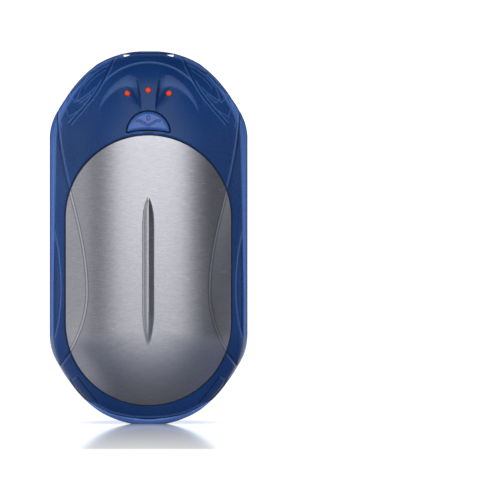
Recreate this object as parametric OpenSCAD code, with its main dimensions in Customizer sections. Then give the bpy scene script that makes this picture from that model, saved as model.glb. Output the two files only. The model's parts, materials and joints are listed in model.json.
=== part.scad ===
/* [Body] */
// Height of the hand warmer from its foot to the strap bar
body_h = 110; // [106:1:116]
// Half of the width across the straight sides
half_w = 29.2; // [28.5:0.1:31]
// Half of the thickness of the pebble, without the ridges
half_t = 13; // [12.8:0.1:14.5]
// Length of the rounded cap at the top, from its centre to its end
cap_top = 29; // [27:0.5:32]
// Length of the rounded cap at the bottom, from its centre to its end
cap_bottom = 28.4; // [27:0.2:31]
// How far the foot is cut up into the bottom cap
foot_cut = 0.5; // [0.3:0.05:0.8]
// Thickness of the moulded walls
wall = 2.6; // [2.2:0.1:2.8]

/* [Side facets] */
// Distance from the side to the crease at its widest
crease_in = 11.15; // [9:0.05:12]
// Height of the narrowest place of the crease
crease_z = 39; // [35:0.5:45]
// Distance from the side to the upper end of the crease
crease_top_in = 2.55; // [2.2:0.05:3.5]
// Distance from the top down to the upper end of the crease
crease_drop = 17.5; // [15:0.5:22]
// Distance from the side to the lower end of the crease
crease_low_in = 2.95; // [2.4:0.05:3.5]
// Height of the lower end of the crease
crease_low_z = 16.7; // [14:0.1:20]
// Distance from the side to the outer edge of the finger scallops
scallop_in = 1.4; // [1.2:0.1:2]
// Width of a finger scallop at its middle
scallop_w = 2.15; // [1.5:0.05:2.6]
// Height of the lower point of a finger scallop
scallop_low = 25.6; // [25:0.2:30]
// Length of a finger scallop
scallop_len = 29.9; // [24:0.1:32]

/* [Heat plates] */
// Distance from the side to the edge of a heat plate
plate_in = 4.84; // [4.2:0.02:5.6]
// Height of the lower end of a heat plate
plate_low = 5.6; // [5:0.1:7]
// Distance from the top down to the upper end of a heat plate
plate_drop = 25; // [24.7:0.1:27]
// Thickness of the aluminium
plate_t = 1.2; // [0.9:0.1:1.3]
// Gap round a heat plate
plate_gap = 0.15; // [0.1:0.05:0.25]
// Thickness of the heater film under a plate
film_t = 0.2; // [0.15:0.05:0.25]
// Margin between the edge of the film and the edge of the plate
film_margin = 2.4; // [1.5:0.1:4]
// Width of the ridge along the middle of a plate
ridge_w = 3.4; // [2.6:0.1:4.5]
// Height of the lower point of the ridge
ridge_low = 23.6; // [20:0.1:28]
// Distance from the top down to the upper point of the ridge
ridge_drop = 42.9; // [40:0.1:50]
// How far the crest of the ridge stands out of the plate
ridge_rise = 0.6; // [0.4:0.05:0.9]

/* [Controls] */
// Radius of the round top of the button
button_r = 6.25; // [6:0.05:6.6]
// Distance from the edge of the plate to the button's lower edge
button_above = 1.7; // [1.5:0.05:2]
// Height of the middle of the button's round top, above the plate
button_lift = 0.8; // [0.7:0.05:1.2]
// How far the button stands out of the cover
button_proud = 0.45; // [0.3:0.05:0.6]
// Gap round the button
button_gap = 0.4; // [0.3:0.05:0.5]
// Travel of the button
button_travel = 0.35; // [0.25:0.05:0.4]
// Radius of each lamp window
lamp_r = 0.82; // [0.7:0.02:1]
// Distance of the outer lamps from the middle line
lamp_x = 6.1; // [5:0.1:7]
// Distance from the top down to the outer lamps
lamp_drop = 12.6; // [11:0.1:14]
// How much higher the middle lamp sits
lamp_step = 0.95; // [0.5:0.05:1.5]
// Radius of the dish round the controls
dish_r = 17.5; // [16:0.5:18]
// Distance from the top down to the centre of the dish
dish_drop = 20.75; // [19:0.25:22]
// Depth of the dish, of the finger scallops and of the shoulder and flank facets
step_depth = 0.35; // [0.2:0.05:0.5]
// Outer radius of the two brows inside the dish
brow_r = 15; // [14:0.1:15.5]
// Width of a brow
brow_w = 2; // [1.4:0.1:2.6]

/* [Strap loop] */
// Half of the width of the strap notch
notch_half = 7.25; // [6:0.05:8]
// Thickness of the cheek beside the notch
notch_cheek = 1.5; // [1.2:0.1:1.8]
// Depth of the lip of the notch under the top of the body
lip_depth = 1.45; // [1.3:0.05:1.6]
// Depth of the middle of the pocket under the top of the body
pocket_depth = 3.7; // [3.2:0.1:4.2]
// Thickness of the strap bar at its two ends
bar_end = 0.25; // [0.2:0.05:0.4]
// Half of the width of the strap bar, front to back
bar_half = 1.7; // [1.4:0.1:2]

/* [Port] */
// Half of the length of the port bezel across the foot
bezel_half = 18.5; // [17:0.1:19]
// Half of the thickness of the port bezel at its middle
bezel_mid = 6; // [5.4:0.1:6.6]
// Fullness of the outline of the port bezel, two for an ellipse
bezel_share = 2.4; // [2:0.1:3]
// Gap between the bezel or strap piece and the covers
seam_gap = 0.12; // [0.08:0.02:0.2]
// Width of the charging socket's metal shell
port_w = 8.94; // [8.9:0.02:9]
// Thickness of the charging socket's metal shell
port_t = 3.26; // [3.2:0.02:3.3]
// Length of the charging socket's metal shell
port_len = 7.35; // [6.5:0.05:8]
// Sheet thickness of the charging socket's shell
port_sheet = 0.3; // [0.25:0.05:0.35]
// Clearance round the charging socket in the bezel
port_gap = 0.22; // [0.15:0.01:0.3]

/* [Cells] */
// Distance from the side to the nearest battery cell
cell_in = 10.3; // [10:0.1:10.6]
// Half of the gap between the two cells
cell_gap = 0.5; // [0.4:0.05:0.6]
// Height of the lower end of the cells
cell_low = 18; // [17:0.25:19]
// Distance from the top down to the upper end of the cells
cell_drop = 27; // [26:0.25:28]
// Thickness of the end plates of the cell holders
holder_t = 1.6; // [1.2:0.1:2]
// Depth of the pockets of the cell holders
holder_deep = 5; // [4:0.5:8]

/* [Boards] */
// Thickness of the circuit boards
board_t = 1.2; // [1:0.1:1.6]
// Distance of the main board's front face from the middle plane
main_front = 4.4; // [4:0.1:5]
// Distance from the top down to the main board's lower edge
main_low_drop = 24.5; // [23:0.1:24.7]
// Distance from the top down to the main board's upper edge
main_high_drop = 8; // [7:0.5:9.5]
// Height of the port board's lower edge
port_low = 4; // [3.6:0.1:4.6]
// Height of the port board's upper edge
port_high = 15.4; // [14.5:0.1:15.6]

/* [Screws] */
// Distance from the side to the housing screws
screw_in = 7.2; // [6.8:0.1:7.3]
// Height of the lower housing screws
screw_low = 29; // [27:0.5:34]
// Distance from the top down to the upper housing screws
screw_drop = 45; // [42:0.5:50]
// Radius of the screws' shanks
shank_r = 1; // [0.8:0.05:1.1]
// Radius of the screws' heads
head_r = 1.9; // [1.7:0.05:2]

/* [Hidden] */

// Overrun of every cut past the face that it opens
over = 1;
// Gap between flat faces that meet
touch = 0.02;
// Loose gap between pieces that are set side by side
loose = 0.2;
// Running clearance round the pieces that slide
slide_gap = 0.08;

// Exponents of the rounded section and of the outline's caps, where 2 is an ellipse
section_share = 2.6;
top_share = 2;
bottom_share = 1.92;
// Share of the way to the rim beyond which the crease has run out
rim_share = 0.985;
// Share of the side band that the flat facet covers
facet_share = 0.7;
// Share of the way to the rim of the innermost ring, which closes the section
core_share = 0.12;
// Turn of the section at the rim
rim_turn = 90;
// How much closer the steps round a cap are at its two ends
close_angle = 9;

top_z = body_h - cap_top;
bottom_z = cap_bottom - foot_cut;
crease_x = half_w - crease_in;
crease_top_x = half_w - crease_top_in;
crease_low_x = half_w - crease_low_in;
crease_top_z = body_h - crease_drop;
plate_r = half_w - plate_in;
plate_high = body_h - plate_drop;
ridge_high = body_h - ridge_drop;
lamp_z = body_h - lamp_drop;
dish_z = body_h - dish_drop;
bar_low = top_z + cap_top * sqrt(1 - pow(notch_half / half_w, 2)) - bar_end;
// Room between a cell and the middle of a wall, for the foam
cell_room = 1.2;
// A cell takes what the width and the thickness both leave
cell_r = min((half_w - cell_in - cell_gap) / 2, half_t - wall - cell_room);
cell_x = half_w - cell_in - cell_r;
cell_high = body_h - cell_drop;
main_low = body_h - main_low_drop;
main_high = body_h - main_high_drop;
screw_x = half_w - screw_in;
screw_high = body_h - screw_drop;
plate_low_z = plate_low + plate_r;
plate_high_z = plate_high - plate_r;
seat_depth = plate_t + film_t + 2 * touch;

// Sizes of the control pieces
button_z = plate_high + button_lift;
button_edge_r = plate_r + button_above;
button_crown = 60;
button_corner = 0.8;
ridge_root = 0.1;
brow_part = 2.7;
dish_slope_share = 1.6;
shoulder_start_share = 1.7;
shoulder_drop = 5.5;
flange_rim = 0.8;
flange_t = 0.8;
flange_front = 9.5;
stem_r = 2.2;
switch_w = 6;
switch_lift = 4.2;
switch_z = plate_high + switch_lift;
switch_t = 3.5;
plunger_r = 1.75;
plunger_sunk = 0.75;
lamp_w = 1.6;
lamp_h = 1;
lamp_t = 0.8;
guide_bar_t = 1;
guide_bar_h = 2.6;
guide_gap = 0.03;
guide_bar_back = 2.2;

// Sizes of the electronic pieces
chip_w = 5;
chip_t = 0.9;
part_w = 1.6;
part_h = 0.8;
part_t = 0.7;
coil_r = 2.3;
coil_t = 2.8;
coil_x = 4.1;
charge_chip_w = 4;
board_margin = 1.4;
main_margin = 2.3;
main_in = 10.2;
post_in = 14.7;
post_drop = 20;
main_side = half_w - main_in;
port_side = 12.5;
socket_mouth = 0.8;
tongue_w = 6.7;
tongue_t = 0.7;
tongue_base = 1.4;
bezel_high = 11;
bezel_wall = 2.2;
bezel_steps = 120;
post_x = half_w - post_in;
post_z = body_h - post_drop;
post_r = 2.2;
port_post_x = 9.3;
port_post_z = 9.5;
fixing_r = 0.8;
fixing_head_r = 1.5;
fixing_head_t = 1;
fixing_len = 4;

// Sizes of the power pieces
wrap_t = 0.1;
cell_nub_r = 3.2;
cell_nub_t = 0.9;
ring_t = 0.2;
tab_t = 0.2;
tab_w = 6;
holder_wall = 1;
holder_half = 7.4;
window_r = 4.5;
pad_w = 5;
pad_end = 7;
pad_low = cell_low + pad_end + over;
pad_high = cell_high - pad_end;
lead_r = 0.4;
link_r = 0.5;
link_step = 1.4;
bead_r = 0.95;
bead_drop = 11;
bead_z = cell_high - bead_drop;
film_port_x = 5;
film_port_drop = 6;
film_port_z = cell_high - film_port_drop;
film_port_r = 0.6;
lead_step = 1.1;
lead_row = 1.02;
lead_depth = 1.3;
lead_rise = 0.6;
lead_shift = 4.5;
lead_land = 3;
heater_land = 2;
link_depth = 2;

// Sizes of the housing's fixings
boss_r = 2.4;
well_r = 2.9;
screw_seat = 5.2;
head_t = 1.5;
shank_end = 4.5;

// Radius of the outline in one direction from the centre of a cap
function cap_reach(angle, length, share) =
    1 / pow(pow(abs(cos(angle)) / half_w, share)
        + pow(abs(sin(angle)) / length, share), 1 / share);

// One station of the outline: centre height, direction and reach
function cap_station(angle, z, length, share) =
    [z, cos(angle), sin(angle), cap_reach(angle, length, share)];

// Angle at one step over a cap, with the steps closer at both ends, where the crease is
function cap_angle(t) = 180 * t - close_angle * sin(360 * t);

// All stations once round the outline, from the right side over the top
function stations(caps, sides) = concat(
    [for (i = [0:caps]) cap_station(cap_angle(i / caps), top_z, cap_top, top_share)],
    [for (i = [1:sides - 1]) [top_z + (bottom_z - top_z) * i / sides, -1, 0, half_w]],
    [for (i = [0:caps])
        cap_station(180 + cap_angle(i / caps), bottom_z, cap_bottom, bottom_share)],
    [for (i = [1:sides - 1]) [bottom_z + (top_z - bottom_z) * i / sides, 1, 0, half_w]]);

// Distance of the crease from the middle line at a height
function crease_at(z) = z > crease_z
    ? crease_x + (crease_top_x - crease_x)
        * (1 - cos(180 * min(1, (z - crease_z) / (crease_top_z - crease_z)))) / 2
    : crease_x + (crease_low_x - crease_x) * pow((crease_z - z) / (crease_z - crease_low_z), 2);

// Share of the way to the rim at which a station meets the crease, found by halving
function crease_share(s, low = 0, high = rim_share, tries = 20) =
    let (mid = (low + high) / 2, inside = mid * s[3] * abs(s[1]) < crease_at(s[0] + mid * s[3] * s[2]))
    tries == 0 ? mid : crease_share(s, inside ? mid : low, inside ? high : mid, tries - 1);

// Share of the way to the rim at which the side facet ends
function facet_end(c) = c + (1 - c) * facet_share;

// Height of the section at a share of the way to the rim, with the flat side facet
function arch(d) = pow(max(0, 1 - pow(d, section_share)), 1 / section_share);
function section(d, c) = d <= c || d >= facet_end(c) ? arch(d)
    : arch(c) + (arch(facet_end(c)) - arch(c)) * (d - c) / (facet_end(c) - c);
function turn_of(d) = asin(pow(d, section_share / 2));
function share_of(turn) = pow(sin(turn), 2 / section_share);

// Shares of the way to the rim, from the rim inwards, at a station with a crease
function ring_shares(c, rims, inners) = concat(
    [for (i = [0:rims]) share_of(rim_turn + (turn_of(facet_end(c)) - rim_turn) * i / rims)],
    [for (i = [0:inners - 1]) share_of(turn_of(c) * (1 - i / inners))], [core_share]);

// The fine grid is for surfaces that show, the coarse one for those that don't
FINE = [24, 6, 3, 5];
COARSE = [12, 3, 2, 3];

// Front half of the pebble, drawn in by an inset, with a skirt behind the middle plane.
// A part of "top" or "bottom" gives only that cap.
module half_dome(inset, skirt = 0, grid = FINE, part = "all") {
    whole = part == "all";
    ends = part == "top" ? [0, grid[0]] : [grid[0] + grid[1], 2 * grid[0] + grid[1]];
    around = stations(grid[0], grid[1]);
    line = whole ? around : [for (i = [ends[0]:ends[1]]) around[i]];
    creases = [for (s = line) crease_share(s)];
    shares = [for (c = creases) ring_shares(c, grid[2], grid[3])];
    n = len(line);
    function spot(i, d, y) = let (s = line[i], reach = d * (s[3] - inset))
        [reach * s[1], y, s[0] + reach * s[2]];
    points = concat(
        [for (i = [0:n - 1]) spot(i, 1, skirt)],
        [for (k = [skirt > 0 ? 0 : 1:grid[2] + grid[3] + 1]) for (i = [0:n - 1])
            spot(i, shares[i][k], (inset - half_t) * section(shares[i][k], creases[i]))]);
    rows = len(points) / n;
    // The end faces start at the middle of a cap, away from the straight sides
    first = grid[0] / 2;
    function at(i, k) = k * n + i % n;
    faces = concat(
        [[for (i = [0:n - 1]) at(i + first, 0)],
            [for (i = [n - 1:-1:0]) at(i + first, rows - 1)]],
        whole ? [] : [concat([for (k = [rows - 1:-1:0]) at(0, k)],
            [for (k = [0:rows - 1]) at(n - 1, k)])],
        [for (k = [0:rows - 2]) for (i = [0:n - (whole ? 1 : 2)])
            for (f = creases[i] < creases[(i + 1) % n]
                ? [[at(i, k), at(i + 1, k + 1), at(i + 1, k)],
                    [at(i, k), at(i, k + 1), at(i + 1, k + 1)]]
                : [[at(i, k), at(i, k + 1), at(i + 1, k)],
                    [at(i + 1, k), at(i, k + 1), at(i + 1, k + 1)]]) f]);
    polyhedron(points, faces);
}

module both_halves() {
    children();
    mirror([0, 1, 0]) children();
}

// A drawing of the front, thickened from one distance before the middle plane to another
module facing(near, far) {
    translate([0, -near, 0]) rotate([90, 0, 0]) linear_extrude(far - near) children();
}

// A round bar along the thickness, between two distances before the middle plane
module peg(x, z, r, near, far) {
    translate([x, -near, z]) rotate([90, 0, 0]) cylinder(h = far - near, r = r, $fn = 48);
}

module both_sides(x) {
    for (side = [-1, 1]) translate([side * x, 0, 0]) children();
}

// Outline of a heat plate, grown or drawn in by a margin
module plate_outline(grow) {
    r = plate_r + grow;
    translate([0, plate_low_z]) circle(r, $fn = 96);
    translate([0, plate_high_z]) circle(r, $fn = 96);
    translate([-r, plate_low_z]) square([2 * r, plate_high_z - plate_low_z]);
}

// Outline of the button, a round top over an arc that follows the plate
module button_outline(grow) {
    offset(r = button_corner + grow, $fn = 48) offset(delta = -button_corner)
        difference() {
            translate([0, button_z]) circle(button_r, $fn = 72);
            translate([0, plate_high_z]) circle(button_edge_r, $fn = 96);
        }
}

// Depth of the notch at the top, where the front lip leaves the section
lip_share = (body_h - lip_depth - top_z) / cap_top;
lip_y = half_t * arch(lip_share);
pocket_sag = pocket_depth - lip_depth;
pocket_r = (lip_y * lip_y + pocket_sag * pocket_sag) / (2 * pocket_sag);
pocket_z = body_h - pocket_depth + pocket_r;

// The strap notch's round, along the width
module pocket_round(grow, half) {
    translate([-half, 0, pocket_z]) rotate([0, 90, 0])
        cylinder(h = 2 * half, r = pocket_r + grow, $fn = 96);
}

// One coordinate of a full oval, from the cosine or sine of the turn
function oval(turn, half) = half * sign(turn) * pow(abs(turn), 2 / bezel_share);

// Full oval of the port bezel, seen from below
module bezel_outline(grow) {
    polygon([for (i = [0:bezel_steps - 1]) let (turn = 360 * i / bezel_steps)
        [oval(cos(turn), bezel_half + grow), oval(sin(turn), bezel_mid + grow)]]);
}
module bezel_prism(grow) {
    translate([0, 0, -over]) linear_extrude(bezel_high + grow + over) bezel_outline(grow);
}

// Everything under the foot
module under_foot() {
    translate([-half_w, -half_t, -2 * over]) cube([2 * half_w, 2 * half_t, 2 * over]);
}

module both_mirrored() {
    children();
    mirror([1, 0]) children();
}

// Inner edge of a shoulder facet from the notch down, as shares of the half width and
// of the top cap's length
shoulder_shares = [[0.39, 0.83], [0.44, 0.735], [0.53, 0.63], [0.59, 0.55], [0.645, 0.45],
    [0.695, 0.38], [0.795, 0.25]];
// Corners of a flank facet, as shares of the half width and of the bottom cap's length
flank_shares = [[-1, 0.45], [-0.8, 0.435], [-0.7, 0.48], [-0.548, 0.28], [-0.52, 0.222],
    [-0.685, 0.107]];

// Outer facet of one shoulder, beyond the groove that runs down from the notch
module shoulder_outline() {
    out = half_w + over;
    start = notch_half + shoulder_start_share * notch_cheek;
    end_z = crease_top_z - shoulder_drop;
    polygon(concat(
        [[start, body_h + over], [start, body_h - lip_depth]],
        [for (p = shoulder_shares) [p[0] * half_w, top_z + p[1] * cap_top]],
        [[crease_top_x, end_z], [out, end_z], [out, body_h + over]]));
}

// Narrow facet along one lower flank
module flank_outline() {
    polygon([for (p = flank_shares) [p[0] * half_w, bottom_z - (1 - p[1]) * cap_bottom]]);
}

// Lens of a finger scallop on the right side
module scallop_outline() {
    half = scallop_len / 2;
    r = (half * half + scallop_w * scallop_w) / (2 * scallop_w);
    edge = half_w - scallop_in;
    intersection() {
        translate([edge - scallop_w + r, scallop_low + half]) circle(r, $fn = 180);
        translate([edge - scallop_w - over, scallop_low])
            square([scallop_w + over, scallop_len]);
    }
}

// Two raised brows that arch over the button inside the dish
module brow_outline() {
    difference() {
        circle(brow_r, $fn = 96);
        circle(brow_r - brow_w, $fn = 96);
        translate([-brow_r, -2 * brow_r]) square([2 * brow_r, 2 * brow_r + brow_w]);
        translate([-brow_part, 0]) square([2 * brow_part, 2 * brow_r]);
    }
}

module dish_outline() {
    difference() {
        translate([0, dish_z]) circle(dish_r, $fn = 120);
        translate([0, dish_z]) brow_outline();
        translate([-dish_r, dish_z - 2 * dish_r])
            square([2 * dish_r, switch_z - dish_z + 2 * dish_r]);
    }
}

// The lamps' places, from left to right
LAMPS = [[-lamp_x, lamp_z], [0, lamp_z + lamp_step], [lamp_x, lamp_z]];
SCREWS = [for (x = [-screw_x, screw_x]) for (z = [screw_low, screw_high]) [x, z]];

// Wall of one half of the housing, with its plate's seat and its cut for the end pieces
module cover_wall() {
    difference() {
        half_dome(0);
        half_dome(wall, over, COARSE);
        difference() {
            facing(0, half_t + over) plate_outline(plate_gap);
            half_dome(seat_depth, over, COARSE);
        }
        difference() {
            facing(0, half_t + over) both_mirrored() scallop_outline();
            half_dome(step_depth, over);
        }
    }
}

module end_cuts() {
    under_foot();
    bezel_prism(seam_gap);
    pocket_round(notch_cheek + seam_gap, notch_half + notch_cheek + seam_gap);
}

module film_ports() {
    for (i = [0:1])
        peg(-film_port_x - i * lead_step, film_port_z, film_port_r, half_t - wall - over, half_t);
}

module front_cover() {
    color("#1a3466") difference() {
        union() {
            cover_wall();
            intersection() {
                half_dome((seat_depth + wall) / 2, 0, COARSE);
                union() {
                    for (s = SCREWS) peg(s[0], s[1], boss_r, touch, half_t);
                    both_sides(post_x) peg(0, post_z, post_r, main_front + touch, half_t);
                }
            }
        }
        end_cuts();
        difference() {
            facing(0, half_t + over) dish_outline();
            translate([0, -half_t, switch_z])
                rotate([-asin(dish_slope_share * step_depth / dish_r), 0, 0])
                translate([0, half_t, -switch_z]) half_dome(0, over, FINE, "top");
        }
        difference() {
            facing(0, half_t + over) both_mirrored() shoulder_outline();
            half_dome(step_depth, over, FINE, "top");
        }
        difference() {
            facing(0, half_t + over) both_mirrored() flank_outline();
            half_dome(step_depth, over, FINE, "bottom");
        }
        facing(0, half_t + over) button_outline(button_gap);
        for (p = LAMPS) peg(p[0], p[1], lamp_r + guide_gap, main_front, half_t);
        for (s = SCREWS) peg(s[0], s[1], shank_r + touch, -over, shank_end + loose);
        both_sides(post_x)
            peg(0, post_z, fixing_r + touch, main_front - over, main_front + fixing_len);
        film_ports();
        peg(0, bead_z, bead_r + loose, half_t - wall - over, half_t);
    }
}

module back_cover() {
    color("#1a3466") mirror([0, 1, 0]) difference() {
        union() {
            cover_wall();
            intersection() {
                half_dome((seat_depth + wall) / 2, 0, COARSE);
                union() {
                    for (s = SCREWS) peg(s[0], s[1], well_r, touch, half_t);
                    both_sides(port_post_x)
                        peg(0, port_post_z, post_r, port_back + touch, half_t);
                }
            }
        }
        end_cuts();
        for (s = SCREWS) {
            peg(s[0], s[1], shank_r + slide_gap, -over, half_t);
            peg(s[0], s[1], head_r + slide_gap, screw_seat, half_t);
        }
        both_sides(port_post_x)
            peg(0, port_post_z, fixing_r + touch, port_back - over, port_back + fixing_len);
        film_ports();
    }
}

// Pressed plate with a pointed ridge along its middle
module heat_plate() {
    intersection() {
        facing(0, half_t + over) plate_outline(0);
        difference() {
            half_dome(0);
            half_dome(plate_t, over, COARSE);
        }
    }
    ridge();
}

// Ridge with a straight crest, sloping sides and pointed ends
module ridge() {
    half = ridge_w / 2;
    point = 1.8 * ridge_w;
    outline = [[0, ridge_low], [half, ridge_low + point], [half, ridge_high - point],
        [0, ridge_high], [-half, ridge_high - point], [-half, ridge_low + point]];
    root = [for (p = outline) [p[0], plate_t / 2 - half_t, p[1]]];
    foot = [for (p = outline) [p[0], ridge_root - half_t, p[1]]];
    crest = [for (z = [ridge_low + point, ridge_high - point]) [0, -half_t - ridge_rise, z]];
    sides = [for (i = [0:5]) [i + 6, (i + 1) % 6 + 6, (i + 1) % 6, i]];
    roof = [[12, 7, 6], [12, 13, 8, 7], [13, 9, 8], [13, 10, 9], [13, 12, 11, 10], [12, 6, 11]];
    polyhedron(concat(root, foot, crest), concat([[0, 1, 2, 3, 4, 5]], sides, roof));
}

module front_heat_plate() {
    color("#c9c9d2") heat_plate();
}

module back_heat_plate() {
    color("#c9c9d2") mirror([0, 1, 0]) heat_plate();
}

module heater_film() {
    intersection() {
        facing(0, half_t) plate_outline(-film_margin);
        difference() {
            half_dome(plate_t + touch, 0, COARSE);
            half_dome(plate_t + film_t + touch, over, COARSE);
        }
    }
}

module front_heater_film() {
    color("#c8782c") heater_film();
}

module back_heater_film() {
    color("#c8782c") mirror([0, 1, 0]) heater_film();
}

// Flat-sided oval of the charging socket, seen from below
module port_outline(grow) {
    r = port_t / 2 + grow;
    half = (port_w - port_t) / 2;
    translate([-half, 0]) circle(r, $fn = 48);
    translate([half, 0]) circle(r, $fn = 48);
    translate([-half, -r]) square([2 * half, 2 * r]);
}

module port_bezel() {
    color("#3f6db0") difference() {
        intersection() {
            bezel_prism(0);
            both_halves() half_dome(0, 0, FINE, "bottom");
        }
        both_halves() half_dome(bezel_wall, over, COARSE, "bottom");
        under_foot();
        translate([0, 0, -over]) linear_extrude(bezel_high) port_outline(port_gap);
    }
}

module strap_loop() {
    color("#24427c") intersection() {
        both_halves() half_dome(0, 0, FINE, "top");
        union() {
            difference() {
                pocket_round(notch_cheek, notch_half + notch_cheek);
                pocket_round(0, notch_half);
            }
            translate([-notch_half - touch, -bar_half, bar_low])
                cube([2 * notch_half + 2 * touch, 2 * bar_half, body_h - bar_low]);
        }
    }
}

module power_button() {
    color("#5d84bd") {
        intersection() {
            facing(flange_front - touch, half_t + over) button_outline(0);
            translate([0, button_crown - half_t - button_proud, button_z])
                sphere(button_crown, $fn = 200);
        }
        facing(flange_front - flange_t, flange_front) button_outline(flange_rim);
        peg(0, switch_z, stem_r, plunger_front + touch, flange_front - touch);
    }
}

switch_front = main_front + touch + switch_t;
// At rest the plunger stands out of the switch by the travel and a loose gap
plunger_front = switch_front + button_travel + loose;

module switch_plunger() {
    color("#d8d4c8") peg(0, switch_z, plunger_r, switch_front - plunger_sunk, plunger_front);
}

module tact_switch() {
    color("#3a3a3e") difference() {
        translate([-switch_w / 2, -switch_front, switch_z - switch_w / 2])
            cube([switch_w, switch_t, switch_w]);
        peg(0, switch_z, plunger_r + slide_gap,
            switch_front - plunger_sunk - button_travel - loose, switch_front + over);
    }
}

module light_guide() {
    rear = main_front + touch + lamp_t + loose;
    bar_front = rear + guide_bar_back;
    color("#f2d2c4") {
        for (p = LAMPS) {
            reach = norm([p[0] / half_w, (p[1] - top_z) / cap_top]);
            peg(p[0], p[1], lamp_r, rear, half_t * arch(reach));
        }
        translate([-lamp_x - 1.5 * lamp_r, -bar_front, lamp_z - guide_bar_h / 3])
            cube([2 * lamp_x + 3 * lamp_r, guide_bar_t, guide_bar_h]);
    }
}

module indicator_lamps() {
    color("#ff5a14") for (p = LAMPS)
        translate([p[0] - lamp_w / 2, -main_front - touch - lamp_t, p[1] - lamp_h / 2])
            cube([lamp_w, lamp_t, lamp_h]);
}

// Circuit board cut from a round that follows one end of the housing
module board(center, r, side, low, high, face) {
    facing(face - board_t, face) intersection() {
        translate([0, center]) circle(r, $fn = 96);
        translate([-side, low]) square([2 * side, high - low]);
    }
}

module main_board() {
    color("#1f5c3a") difference() {
        board(top_z, cap_top - wall - main_margin, main_side, main_low, main_high, main_front);
        both_sides(post_x) peg(0, post_z, fixing_r + slide_gap, 0, main_front + over);
    }
}

port_front = -port_t / 2 - touch;
port_back = -port_front + board_t;

module port_board() {
    color("#1f5c3a") difference() {
        board(bottom_z, cap_bottom - wall - board_margin, port_side, port_low, port_high,
            port_front);
        both_sides(port_post_x)
            peg(0, port_post_z, fixing_r + slide_gap, -port_back - over, 0);
    }
}

module usb_socket() {
    color("#b9bcc2") difference() {
        translate([0, 0, socket_mouth]) linear_extrude(port_len) port_outline(0);
        translate([0, 0, socket_mouth - over])
            linear_extrude(port_len + over - port_sheet) port_outline(-port_sheet);
    }
}

module usb_tongue() {
    tip = socket_mouth + port_sheet;
    base = socket_mouth + port_len - port_sheet - touch;
    color("#26262a") {
        translate([0, 0, base - tongue_base]) linear_extrude(tongue_base)
            port_outline(-port_sheet - touch);
        translate([-tongue_w / 2, -tongue_t / 2, tip])
            cube([tongue_w, tongue_t, base - tongue_base - tip + touch]);
    }
}

// A small block that stands on a board's face
module on_front(x, z, w, h, t, face) {
    translate([x - w / 2, -face - touch - t, z - h / 2]) cube([w, t, h]);
}

module on_back(x, z, w, h, t, face) {
    translate([x - w / 2, -face + touch, z - h / 2]) cube([w, t, h]);
}

main_back = main_front - board_t;

module control_chip() {
    color("#202226") on_back(0, (main_low + main_high) / 2, chip_w, chip_w, chip_t, main_back);
}

module board_parts() {
    mid = (main_low + main_high) / 2;
    color("#b08d5a") {
        for (i = [-1:1]) on_back(i * 2 * part_w, mid + chip_w, part_w, part_h, part_t, main_back);
        for (side = [-1, 1]) on_back(side * chip_w, mid, part_h, part_w, part_t, main_back);
        for (side = [-1, 1]) on_back(side * 2 * chip_w, mid, chip_w / 2, chip_w, chip_t, main_back);
    }
}

module charge_chip() {
    color("#202226")
        on_front(-charge_chip_w, port_high - charge_chip_w / 2 - part_h, charge_chip_w,
            charge_chip_w, chip_t, port_front);
}

module power_inductor() {
    color("#4a4a4e") peg(coil_x, port_high - coil_r - part_h, coil_r,
        port_front + touch, port_front + coil_t);
}

module port_parts() {
    color("#b08d5a") for (side = [-1, 1]) {
        on_front(side * (port_w / 2 + part_w), port_low + 2 * part_w, part_h, part_w, part_t,
            port_front);
        on_front(side * (port_post_x - part_w), port_high - part_w, part_w, part_h, part_t,
            port_front);
    }
}

cell_can_r = cell_r - wrap_t;
cell_shoulder = cell_high - cell_nub_t;

// A round bar along the height
module post(x, y, r, low, high) {
    translate([x, y, low]) cylinder(h = high - low, r = r, $fn = 72);
}

module cell() {
    post(0, 0, cell_can_r - touch, cell_low, cell_shoulder);
    post(0, 0, cell_nub_r, cell_shoulder - touch, cell_high);
}

module cell_left() {
    color("#9fa3aa") translate([-cell_x, 0, 0]) cell();
}

module cell_right() {
    color("#9fa3aa") translate([cell_x, 0, 0]) cell();
}

module cell_wraps() {
    color("#2f8f5b") both_sides(cell_x) difference() {
        post(0, 0, cell_r, cell_low + wrap_t, cell_shoulder);
        post(0, 0, cell_can_r, cell_low - over, cell_shoulder + over);
    }
}

module cell_insulators() {
    color("#e8e4d8") both_sides(cell_x) difference() {
        post(0, 0, cell_can_r - wrap_t, cell_shoulder + touch, cell_shoulder + touch + ring_t);
        post(0, 0, cell_nub_r + wrap_t, cell_shoulder - over, cell_high);
    }
}

module tab(low) {
    translate([-cell_x - tab_w / 2, -tab_w / 2, low])
        cube([2 * cell_x + tab_w, tab_w, tab_t - touch]);
}

module top_tab() {
    color("#c4c0b4") tab(cell_high + touch);
}

module bottom_tab() {
    color("#c4c0b4") tab(cell_low - tab_t);
}

// Plate with two pockets that hold one end of both cells
module holder() {
    difference() {
        intersection() {
            union() {
                both_sides(cell_x) post(0, 0, cell_r + holder_wall, 0, holder_t + holder_deep);
                translate([-cell_x, -cell_r, 0])
                    cube([2 * cell_x, 2 * cell_r, holder_t + holder_deep]);
            }
            translate([-2 * cell_x, -holder_half, 0] - [cell_r, 0, 0])
                cube([4 * cell_x + 2 * cell_r, 2 * holder_half, holder_t + holder_deep]);
        }
        both_sides(cell_x) {
            post(0, 0, cell_r + slide_gap, holder_t, holder_t + holder_deep + over);
            post(0, 0, window_r, -over, holder_t + over);
        }
        translate([-cell_x, -tab_w / 2 - loose, holder_t])
            cube([2 * cell_x, tab_w + 2 * loose, tab_t + loose]);
    }
}

module bottom_holder() {
    color("#2b2b30") translate([0, 0, cell_low - tab_t - touch - holder_t]) holder();
}

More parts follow.
